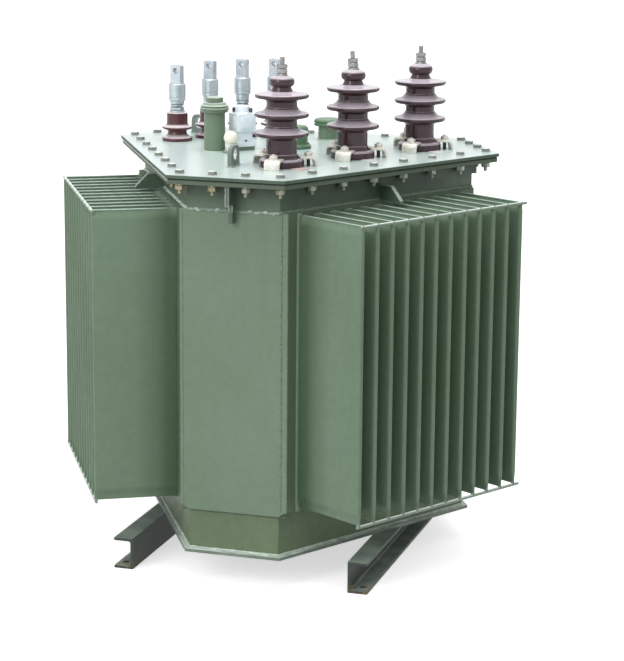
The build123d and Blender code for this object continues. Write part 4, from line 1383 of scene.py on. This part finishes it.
def hvProfile():
    look = hv
    foot, chamfer = look["foot"], look["footChamfer"]
    flange = [(0.0, 0.0), (foot, 0.0), (foot, look["footHeight"] - chamfer),
              (foot - chamfer, look["footHeight"]), (look["shoulder"], look["footHeight"]),
              (look["shoulder"], look["shoulderFoot"])]
    profile = softened(flange, look["footEdge"], 3)
    climb = look["shoulderTop"] - look["shoulderFoot"]
    for share in shares(6):
        radius = look["shoulder"] + (look["column"] - look["shoulder"]) * share ** 2
        profile.append((radius, look["shoulderFoot"] + climb * math.sin(share * math.pi / 2)))
    for level in look["shedLevels"]:
        profile += hvShed(level, level == look["shedLevels"][-1])
    out, up = look["neckBend"]
    profile += [(look["neck"], look["neckFoot"]), (look["neckWaist"] + out, look["neckFoot"] + up),
                (look["neckWaist"], look["neckTop"])]
    height = look["capTop"] - look["neckTop"]
    bun = (look["cap"] - look["capRound"], look["neckTop"] + height * look["capMiddle"])
    profile += arc(bun, (look["capRound"], height * look["capHalf"]), *look["capTurn"], 12)
    profile += [(look["cap"] - inset, look["capTop"] - drop) for inset, drop in look["capEdge"]]
    return profile + [(0.0, look["capTop"])]


hvSpots = [Vector((*middle(f"hv_bushing_{index}").xy, coverTop)) for index in (1, 2, 3)]


def hvBushing(index):
    bm = bmesh.new()
    spot = hvSpots[index - 1]
    turned(bm, hvProfile(), standing(spot), 72)
    finishPiece(f"hvPorcelain{index}", bm, hvGlaze, [f"hv_bushing_{index}"], smooth=40)


# Terminals on the caps: seat, nuts and a threaded stud, the middle one a little bent
hvTerminal = {
    "seat": 0.0155, "seatHeight": 0.003, "collar": 0.0140, "collarTaper": 0.002, "collarHeight": 0.006,
    "nut": 0.0238, "nutHeight": 0.012, "upperNut": 0.0225, "upperNutHeight": 0.0105, "upperNutTurn": 0.4,
    "stud": 0.0062, "top": 0.046, "pitch": 0.00175, "sink": 0.001, "lean": (1.0, -4.0, 0.0),
}


def hvStud(index):
    look = hvTerminal
    bm = bmesh.new()
    base = standing(hvSpots[index - 1] + upBy(hv["capTop"] - look["sink"]))
    base = base @ Matrix.Rotation(math.radians(look["lean"][index - 1]), 4, "Y")
    turned(bm, softened(disc(look["seat"], 0, look["seatHeight"]), 0.001, 3), base, 32)
    ring = [(0, look["seatHeight"]), (look["collar"], look["seatHeight"]),
            (look["collar"] - look["collarTaper"], look["collarHeight"]), (0, look["collarHeight"])]
    turned(bm, softened(ring, look["collarTaper"], 3), base, 32)
    nutTop = look["collarHeight"] + look["nutHeight"]
    upperTop = nutTop + look["upperNutHeight"]
    hexagon(bm, look["nut"], look["collarHeight"], nutTop, base)
    hexagon(bm, look["upperNut"], nutTop, upperTop, base @ Matrix.Rotation(look["upperNutTurn"], 4, "Z"))
    thread = threadProfile(look["stud"], look["top"] - upperTop + look["sink"], look["pitch"])
    turned(bm, thread, base @ Matrix.Translation(upBy(upperTop)), 20)
    finishPiece(f"hvTerminal{index}", bm, studNickel, [f"hv_terminal_{index}"])


# Claw clamps round the feet, each with its stud and nut
clamps = {
    "ridge": ((0.0425, 0.0201), (0.0700, 0.0201), (0.0760, 0.0186), (0.0797, 0.0135), (0.0805, 0.0),
              (0.0855, 0.0), (0.0849, 0.0150), (0.0820, 0.0204), (0.0765, 0.0242), (0.0730, 0.0250),
              (0.0450, 0.0250), (0.0425, 0.0235)),
    "width": 0.039, "bevel": 0.0011, "angles": ((-89, 27, 150), (-91, 26, 145), (-94, 25, 143)),
    "nutReach": 0.0665, "top": 0.025, "washer": 0.0105, "washerHeight": 0.002, "nut": 0.018,
    "nutHeight": 0.0075, "stud": 0.005, "studRise": 0.003, "shank": 0.0048, "shankShort": 0.001,
    "pitch": 0.0015, "threadDepth": 0.0008,
}


def hvClampSet():
    look = clamps
    pitch, depth = look["pitch"], look["threadDepth"]
    bm = bmesh.new()
    across = Matrix(((1, 0, 0, 0), (0, 0, 1, -look["width"] / 2), (0, 1, 0, 0), (0, 0, 0, 1)))
    prism(bm, look["ridge"], across, look["width"], look["bevel"], 2)
    centre = Matrix.Translation((look["nutReach"], 0, look["top"]))
    nutFoot = look["washerHeight"]
    nutTop = nutFoot + look["nutHeight"]
    turned(bm, softened(disc(look["washer"], 0, nutFoot), 0.0006, 2), centre, 20)
    hexagon(bm, look["nut"], nutFoot, nutTop, centre)
    rise = centre @ Matrix.Translation(upBy(nutTop))
    turned(bm, threadProfile(look["stud"], look["studRise"], pitch, depth), rise, 12)
    points, turns = [], []
    for spot, angles in zip(hvSpots, look["angles"]):
        for angle in angles:
            points.append(spot)
            turns.append(math.radians(angle))
    scatter("hvClamps", bm, points, clampSteel, ["hv_clamps"], turns=turns)
    # Studs under the clamps, dark as painted shade in the hollows
    bm = bmesh.new()
    shank = threadProfile(look["shank"], look["top"] - look["shankShort"], pitch, depth)
    turned(bm, shank, Matrix.Translation((look["nutReach"], 0, 0)), 12)
    scatter("clampStuds", bm, points, studShadeDark, turns=turns)


# Sheet gaskets under the feet, each with a tab that sticks out towards the edge of the cover
footSheets = {
    "height": 0.0017, "tabWidth": 0.032, "tabStart": 0.030, "tabEnds": (0.083, 0.086, 0.091),
    "turns": (-31, -34, -33), "corner": 0.003, "bevel": 0.0004,
    "finishes": (footGasket, paleSheet, paleSheet),
}


def hvFootGasket(index):
    look = footSheets
    half = look["tabWidth"] / 2
    start, end = look["tabStart"], look["tabEnds"][index - 1]
    corners = [(start, -half), (end, -half), (end, half), (start, half)]
    tab = softened(corners, look["corner"], 2, closed=True)
    seat = standing(hvSpots[index - 1], look["turns"][index - 1])
    bm = bmesh.new()
    prism(bm, tab, seat, look["height"], look["bevel"], 1)
    finishPiece(f"hvFootSheet{index}", bm, look["finishes"][index - 1])


for index in (1, 2, 3):
    hvBushing(index)
    hvStud(index)
hvClampSet()
for index in (1, 2, 3):
    hvFootGasket(index)
print("high-voltage bushings set")

# Low-voltage bushings and their flag terminals
lv = {
    "base": 0.0405, "baseRound": 0.003, "baseRim": 0.010, "baseSlope": 0.009, "slopeCurve": 2.2,
    "waist": 0.025, "waistTop": 0.026, "shed": 0.0405, "shedLevel": 0.035, "shedRound": 0.004,
    "shedHalf": 0.0035, "shedTurn": (-80, 165), "underDrop": 0.004, "overInset": 0.005,
    "overLift": 0.004, "overRise": 0.006, "neck": 0.028, "neckFoot": 0.046, "neckTop": 0.075,
    "neckEdge": ((0.0005, 0.002), (0.003, 0.0)),
}


def lvProfile():
    look = lv
    rimEdge, rimHalf = look["base"] - look["baseRound"], look["baseRim"] / 2
    profile = [(0.0, 0.0)] + arc((rimEdge, rimHalf), (look["baseRound"], rimHalf), -90, 180, 4)
    for share in shares(6):
        height = look["baseRim"] + look["baseSlope"] * share ** look["slopeCurve"]
        profile.append((rimEdge + (look["waist"] - rimEdge) * share, height))
    profile.append((look["waist"], look["waistTop"]))
    under = look["shed"] - look["shedRound"]
    for share in shares(4):
        height = look["shedLevel"] - look["underDrop"] * (2 - share)
        profile.append((look["waist"] + (under - look["waist"]) * share, height))
    edge = (look["shedRound"], look["shedHalf"])
    profile += arc((under, look["shedLevel"]), edge, *look["shedTurn"], 5)
    over = look["shed"] - look["overInset"]
    for share in shares(6):
        height = look["shedLevel"] + look["overLift"] + look["overRise"] * share ** 2
        profile.append((over + (look["neck"] - over) * share, height))
    profile.append((look["neck"], look["neckFoot"]))
    profile += [(look["neck"] - inset, look["neckTop"] - drop) for inset, drop in look["neckEdge"]]
    return profile + [(0.0, look["neckTop"])]


lvTerminal = {
    "washer": 0.020, "washerHeight": 0.005, "nut": 0.033, "nutHeight": 0.017, "lowerNut": 0.55,
    "collar": 0.0185, "collarSink": 0.001, "body": 0.0225, "bodyHeight": 0.046, "bodyFootEdge": 0.002,
    "bodyHeadEdge": 0.003, "groove": 0.0012, "grooveLevels": (0.007, 0.008, 0.0095, 0.0105),
    "padWidth": 0.032, "padThickness": 0.018, "padHeight": 0.047, "padSink": 0.004, "padTurn": -104,
    "padCorner": 0.0025, "padEdge": 0.0012, "hole": 0.0065, "holeDrop": 0.014,
}


def lvPorcelain(index, spot):
    bm = bmesh.new()
    turned(bm, lvProfile(), standing(spot), 64)
    finishPiece(f"lvPorcelain{index}", bm, lvGlaze, [f"lv_bushing_{index}"], smooth=45)


# Washer, two nuts, collar, grooved body and the flat pad with its hole
def lvFlag(index, spot):
    look = lvTerminal
    bm = bmesh.new()
    base = standing(Vector((spot.x, spot.y, 0)))
    washerFoot = coverTop + lv["neckTop"]
    nutFoot = washerFoot + look["washerHeight"]
    nutTop = nutFoot + look["nutHeight"]
    split = nutFoot + look["nutHeight"] * look["lowerNut"]
    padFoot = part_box(f"lv_terminal_{index}")[1].z - look["padHeight"]
    bodyFoot = padFoot - look["bodyHeight"]
    turned(bm, softened(disc(look["washer"], washerFoot, nutFoot), 0.001, 3), base, 40)
    hexagon(bm, look["nut"], nutFoot, split, base @ Matrix.Rotation(0.3 * index, 4, "Z"))
    hexagon(bm, look["nut"], split, nutTop, base @ Matrix.Rotation(0.5 + 0.2 * index, 4, "Z"))
    turned(bm, softened(disc(look["collar"], nutTop, bodyFoot + look["collarSink"]), 0.001, 2), base, 40)
    body, inner = look["body"], look["body"] - look["groove"]
    footEdge, headEdge = look["bodyFootEdge"], look["bodyHeadEdge"]
    shell = [(0, bodyFoot), (body - footEdge, bodyFoot), (body, bodyFoot + footEdge)]
    for radius, rise in zip((body, inner, inner, body), look["grooveLevels"]):
        shell.append((radius, bodyFoot + rise))
    shell += [(body, padFoot - headEdge), (body - headEdge, padFoot), (0, padFoot)]
    turned(bm, shell, base, 48)
    thick, half = look["padThickness"], look["padWidth"] / 2
    height = look["padHeight"] + look["padSink"]
    face = upright(Vector((spot.x, spot.y, padFoot - look["padSink"])), look["padTurn"] + 90, thick)
    pad = [(-half, 0), (half, 0), (half, height), (-half, height)]
    hole = (0.0, height - look["holeDrop"], look["hole"])
    outline = softened(pad, look["padCorner"], 3, closed=True)
    holedPlate(bm, outline, hole, face, thick, 64, look["padEdge"])
    finishPiece(f"lvTerminal{index}", bm, galvanised, [f"lv_terminal_{index}"])


for index in (1, 2, 3, 4):
    spot = Vector((*middle(f"lv_bushing_{index}").xy, coverTop))
    lvPorcelain(index, spot)
    lvFlag(index, spot)
print("low-voltage bushings set")

# Fittings on the cover
filler = {
    "cap": 0.0375, "disc": 0.031, "discEdge": 0.003, "discStep": 0.002, "hex": 0.039, "capHeight": 0.018,
    "discHeight": 0.007, "hexHeight": 0.014, "hexTurn": 12, "sink": 0.001,
    "knurl": ((0.003, 0.0), (0.003, 0.005), (0.0, 0.0065), (0.0, 0.0105), (0.003, 0.012),
              (0.003, 0.0135), (0.001, 0.0145), (0.001, 0.017), (0.004, 0.018)),
}


def oilFillerCap():
    look = filler
    bm = bmesh.new()
    base = standing(middle("oil_filler_cap"))
    foot = look["capHeight"] + look["discHeight"]
    rings = [(0, 0)] + [(look["cap"] - inset, height) for inset, height in look["knurl"]]
    rings += [(look["disc"], look["capHeight"] + look["discStep"]),
              (look["disc"] - look["discEdge"], foot), (0, foot)]
    turned(bm, softened(rings, 0.001, 2), base, 64)
    turn = Matrix.Rotation(math.radians(look["hexTurn"]), 4, "Z")
    hexagon(bm, look["hex"], foot - look["sink"], foot + look["hexHeight"], base @ turn)
    finishPiece("oilFillerCap", bm, fittingPaint, ["oil_filler_cap"])


valve = {
    "turn": 44, "flange": 0.052, "flangeHeight": 0.012, "flangeCorner": 0.006, "neck": 0.043,
    "neckTop": 0.039, "neckCorner": 0.008, "block": 0.054, "blockTop": 0.083, "blockCorner": 0.004,
    "sink": 0.001, "panelShare": 0.66, "panelHeight": 0.032, "panelCorner": 0.006,
    "panelDepth": 0.0035, "cap": 0.0185, "capTop": 0.103,
    "capFoot": ((0.004, -0.001), (0.003, 0.003), (0.0, 0.004)), "capEdge": 0.002, "bolt": 0.009,
    "boltInset": 0.0075, "boltHeight": 0.005, "boltSink": 0.0005, "screw": 0.003,
    "screwLevel": 0.0145,
    "knob": ((0, 0), (0.0035, 0), (0.0035, 0.003), (0.005, 0.004), (0.005, 0.0095), (0.0035, 0.011),
             (0, 0.011)),
    "knobReach": 0.016, "knobLevel": 0.093,
}


def reliefValve():
    look = valve
    sink, flangeTop = look["sink"], look["flangeHeight"]
    neckTop, blockTop = look["neckTop"], look["blockTop"]
    base = standing(middle("pressure_relief_valve"), look["turn"])
    flat = Matrix.Rotation(math.pi / 2, 4, "X")
    bm = bmesh.new()
    prism(bm, roundedPlate(look["flange"], look["flange"], look["flangeCorner"]), base, flangeTop, 0.0015)
    neck = roundedPlate(look["neck"], look["neck"], look["neckCorner"])
    neckFoot = base @ Matrix.Translation(upBy(flangeTop - sink))
    prism(bm, neck, neckFoot, neckTop - flangeTop + 2 * sink, 0.002)
    block = roundedPlate(look["block"], look["block"], look["blockCorner"])
    prism(bm, block, base @ Matrix.Translation(upBy(neckTop)), blockTop - neckTop, 0.003, 3)
    panel = roundedPlate(look["block"] * look["panelShare"], look["panelHeight"], look["panelCorner"])
    seat = Matrix.Translation((0, sink - look["block"] / 2, (neckTop + blockTop) / 2)) @ flat
    for quarter in range(4):
        turn = Matrix.Rotation(math.pi / 2 * quarter, 4, "Z")
        prism(bm, panel, base @ turn @ seat, look["panelDepth"], 0.0012)
    cap, capTop = look["cap"], look["capTop"]
    ring = [(0, blockTop - sink)] + [(cap + out, blockTop + rise) for out, rise in look["capFoot"]]
    ring += [(cap, capTop - look["capEdge"]), (cap - look["capEdge"], capTop), (0, capTop)]
    turned(bm, softened(ring, 0.0015, 2), base, 40)
    inset = look["flange"] / 2 - look["boltInset"]
    for x, y in ((inset, inset), (-inset, inset), (inset, -inset), (-inset, -inset)):
        corner = base @ Matrix.Translation((x, y, 0))
        hexagon(bm, look["bolt"], flangeTop - look["boltSink"], flangeTop + look["boltHeight"], corner)
    finishPiece("reliefValve", bm, valveWhite, ["pressure_relief_valve"])
    bm = bmesh.new()
    for hand in (-1, 1):
        spot = middle("pressure_relief_valve") + Vector((hand * look["knobReach"], 0, look["knobLevel"]))
        axis = Matrix.Translation(spot) @ Matrix.Rotation(hand * math.pi / 2, 4, "Y")
        turned(bm, softened(look["knob"], 0.001, 2), axis, 20)
    facing = base @ Matrix.Translation((0, sink - look["neck"] / 2, look["screwLevel"])) @ flat
    turned(bm, softened(disc(look["screw"], 0, look["screw"]), 0.0008, 2), facing, 16)
    finishPiece("valveKnobs", bm, knobPlastic)


plug = {
    "foot": 0.021, "footTop": 0.006, "footTaper": 0.002, "neck": 0.009, "neckTop": 0.024,
    "head": 0.018, "headTop": 0.055, "headTurn": (-78, 168), "headSteps": 12, "headMiddle": 0.42,
    "roundness": 0.7,
    "neckFoot": ((0.001, 0.0), (0.0, 0.003)), "neckHead": ((0.0, 0.004), (0.003, 0.001)),
}


def ventPlug():
    look = plug
    base = standing(middle("vent_plug"))
    footTop, neck, neckTop = look["footTop"], look["neck"], look["neckTop"]
    bm = bmesh.new()
    foot = [(0, 0), (look["foot"], 0), (look["foot"] - look["footTaper"], footTop), (0, footTop)]
    turned(bm, softened(foot, 0.001, 2), base, 40)
    finishPiece("plugFoot", bm, fittingPaint)
    bm = bmesh.new()
    profile = [(0, footTop)] + [(neck + out, footTop + up) for out, up in look["neckFoot"]]
    profile += [(neck + out, neckTop - down) for out, down in look["neckHead"]]
    rise = look["headTop"] - neckTop
    start, sweep = look["headTurn"]
    for step in range(look["headSteps"]):
        angle = math.radians(start + sweep * step / look["headSteps"])
        half = look["headMiddle"] if angle < 0 else 1 - look["headMiddle"]
        level = neckTop + rise * (look["headMiddle"] + half * math.sin(angle))
        profile.append((look["head"] * math.cos(angle) ** look["roundness"], level))
    turned(bm, profile + [(0.0, look["headTop"])], base, 40)
    finishPiece("ventPlug", bm, plugCream, ["vent_plug"], smooth=40)


hood = {
    "flange": 0.039, "flangeHeight": 0.008, "hood": 0.030, "top": 0.058, "band": 0.0015,
    "bandDrops": (0.016, 0.015, 0.006), "fillet": (0.003, 0.004), "crown": 0.004, "bolts": 4,
    "bolt": 0.007, "boltInset": 0.0045, "boltSink": 0.0005, "boltHeight": 0.004,
}


def tapHood():
    look = hood
    bm = bmesh.new()
    base = standing(middle("tap_changer_hood"))
    flangeTop, wall, top = look["flangeHeight"], look["hood"], look["top"]
    footDrop, lowDrop, highDrop = look["bandDrops"]
    out, up = look["fillet"]
    proud = wall + look["band"]
    profile = [(0, 0), (look["flange"], 0), (look["flange"], flangeTop), (wall + out, flangeTop),
               (wall, flangeTop + up), (wall, top - footDrop), (proud, top - lowDrop),
               (proud, top - highDrop), (wall - look["crown"], top), (0, top)]
    turned(bm, softened(profile, 0.0015, 2), base, 56)
    for index in range(look["bolts"]):
        spot = outward(45 + 360 * index / look["bolts"]) * (look["flange"] - look["boltInset"])
        hexagon(bm, look["bolt"], flangeTop - look["boltSink"], flangeTop + look["boltHeight"],
                base @ Matrix.Translation(spot))
    finishPiece("tapHood", bm, hoodPaint, ["tap_changer_hood"])


well = {
    "cap": 0.0385, "height": 0.0185,
    "ribs": ((0.002, 0.0), (0.0, 0.002), (0.0, 0.006), (0.0012, 0.007), (0.0012, 0.009),
             (0.0, 0.010), (0.0, 0.0145), (0.004, 0.0185)),
}


def wellCap():
    bm = bmesh.new()
    profile = [(0, 0)] + [(well["cap"] - inset, height) for inset, height in well["ribs"]]
    profile.append((0, well["height"]))
    turned(bm, softened(profile, 0.001, 2), standing(middle("thermometer_cap")), 56)
    finishPiece("wellCap", bm, hoodPaint, ["thermometer_cap"])


eyes = {
    "spots": ((-0.045, -0.320, 90), (0.262, 0.262, 30), (-0.3304, 0.2277, 150)), "width": 0.060,
    "height": 0.052, "thickness": 0.012, "corner": 0.022, "edge": 0.002, "hole": 0.014,
    "holeLevel": 0.030, "sleeveIn": 0.0006, "sleeveOut": 0.001, "sleeveShort": 0.0015,
    "weldInset": 0.001, "weldLift": 0.0005,
}


def liftingEyes():
    look = eyes
    bm = bmesh.new()
    paths = []
    half, thick = look["width"] / 2, look["thickness"]
    outline = [(-half, 0), (half, 0)]
    arch = [(half, 0), (half, look["height"]), (-half, look["height"]), (-half, 0)]
    outline += softened(arch, look["corner"], 6)[1:-1]
    hole = (0, look["holeLevel"], look["hole"])
    for x, y, angle in look["spots"]:
        spot = Vector((x, y, coverTop))
        holedPlate(bm, outline, hole, upright(spot, angle, thick), thick, 72, look["edge"])
        along = outward(angle) * (half - look["weldInset"])
        across = outward(angle + 90) * thick / 2
        foot = spot + upBy(look["weldLift"])
        corners = [foot + along * a + across * b for a, b in ((1, 1), (-1, 1), (-1, -1), (1, -1))]
        paths.append(corners + corners[:1])
    finishPiece("liftingEyes", bm, eyePaint, ["lifting_eyes"])
    eyeBores()
    weld("eyeWelds", paths, seams["trim"], weldPaint)


# Thin bright sleeves in the holes, where slings have rubbed
def eyeBores():
    look = eyes
    bm = bmesh.new()
    inner, outer = look["hole"] - look["sleeveIn"], look["hole"] + look["sleeveOut"]
    half = look["thickness"] / 2 - look["sleeveShort"]
    section = ((inner, -half), (outer, -half), (outer, half), (inner, half), (inner, -half))
    for x, y, angle in look["spots"]:
        frameMatrix = upright(Vector((x, y, coverTop + look["holeLevel"])), angle, 0.0)
        rings = []
        for radius, height in section:
            ring = []
            for index in range(40):
                turn = 2 * math.pi * index / 40
                spot = Vector((radius * math.cos(turn), radius * math.sin(turn), height))
                ring.append(bm.verts.new(frameMatrix @ spot))
            rings.append(ring)
        skinRings(bm, rings)
    finishPiece("eyeBores", bm, brightBore, smooth=50)


pipeWeldRadius = 0.0275


def fittingWelds():
    paths = [ringPath(middle(node), pipeWeldRadius) for node in ("oil_filler_pipe", "thermometer_well")]
    weld("fittingWelds", paths, seams["trim"], highlightWeld)


oilFillerCap()
reliefValve()
ventPlug()
tapHood()
wellCap()
liftingEyes()
fittingWelds()
print("fittings set")


# Floor, backdrop and light
studio = {
    "half": 40.0, "floor": (0.86, 0.86, 0.86, 1), "bounce": (0.34, 0.34, 0.33, 1), "lift": 0.6,
    "zenith": 0.92, "horizon": 0.46,
    "key": {"place": (-2.2, -5.0, 3.6), "aim": (0, 0, 0.6), "size": 3.6, "power": 134.0},
    "top": {"place": (0.3, -0.8, 5.2), "aim": (0, 0, 0), "size": 3.5, "power": 92.0},
}


def seenDirectly(tree):
    path = addNode(tree, "ShaderNodeLightPath").outputs
    seen = sums(tree, "MAXIMUM", path["Is Camera Ray"], path["Is Glossy Ray"])
    return sums(tree, "MAXIMUM", seen, path["Is Transmission Ray"])


def addLamp(name, look):
    lamp = bpy.data.lights.new(name, "AREA")
    lamp.shape = "DISK"
    lamp.size = look["size"]
    lamp.energy = look["power"]
    holder = bpy.data.objects.new(name, lamp)
    holder.location = look["place"]
    aim = Vector(look["aim"]) - Vector(look["place"])
    holder.rotation_euler = aim.to_track_quat("-Z", "Y").to_euler()
    scene.collection.objects.link(holder)


def addStudio():
    world = bpy.data.worlds.new("studio")
    scene.world = world
    world.use_nodes = True
    tree = world.node_tree
    background = tree.nodes["Background"]
    background.inputs["Color"].default_value = (1, 1, 1, 1)
    height = parts(tree, addNode(tree, "ShaderNodeTexCoord").outputs["Generated"])["Z"]
    sky = spread(tree, height, 0.0, 0.9, studio["horizon"], studio["zenith"])
    feed(tree, background.inputs["Strength"], spread(tree, seenDirectly(tree), 0.0, 1.0, sky, 1.0))
    mesh = bpy.data.meshes.new("floor")
    corners = [(x, y, 0) for x, y in rectangle(2 * studio["half"], 2 * studio["half"])]
    mesh.from_pydata(corners, [], [(0, 1, 2, 3)])
    floor = bpy.data.objects.new("floor", mesh)
    scene.collection.objects.link(floor)
    material, tree, shader = newMaterial("floorPaper")
    feed(tree, shader["Base Color"], tint(tree, seenDirectly(tree), studio["bounce"], studio["floor"]))
    shader["Roughness"].default_value = 0.9
    shader["Emission Color"].default_value = (1, 1, 1, 1)
    feed(tree, shader["Emission Strength"], sums(tree, "MULTIPLY", seenDirectly(tree), studio["lift"]))
    mesh.materials.append(material)
    addLamp("keyLamp", studio["key"])
    addLamp("topLamp", studio["top"])


addStudio()
print("studio lit")
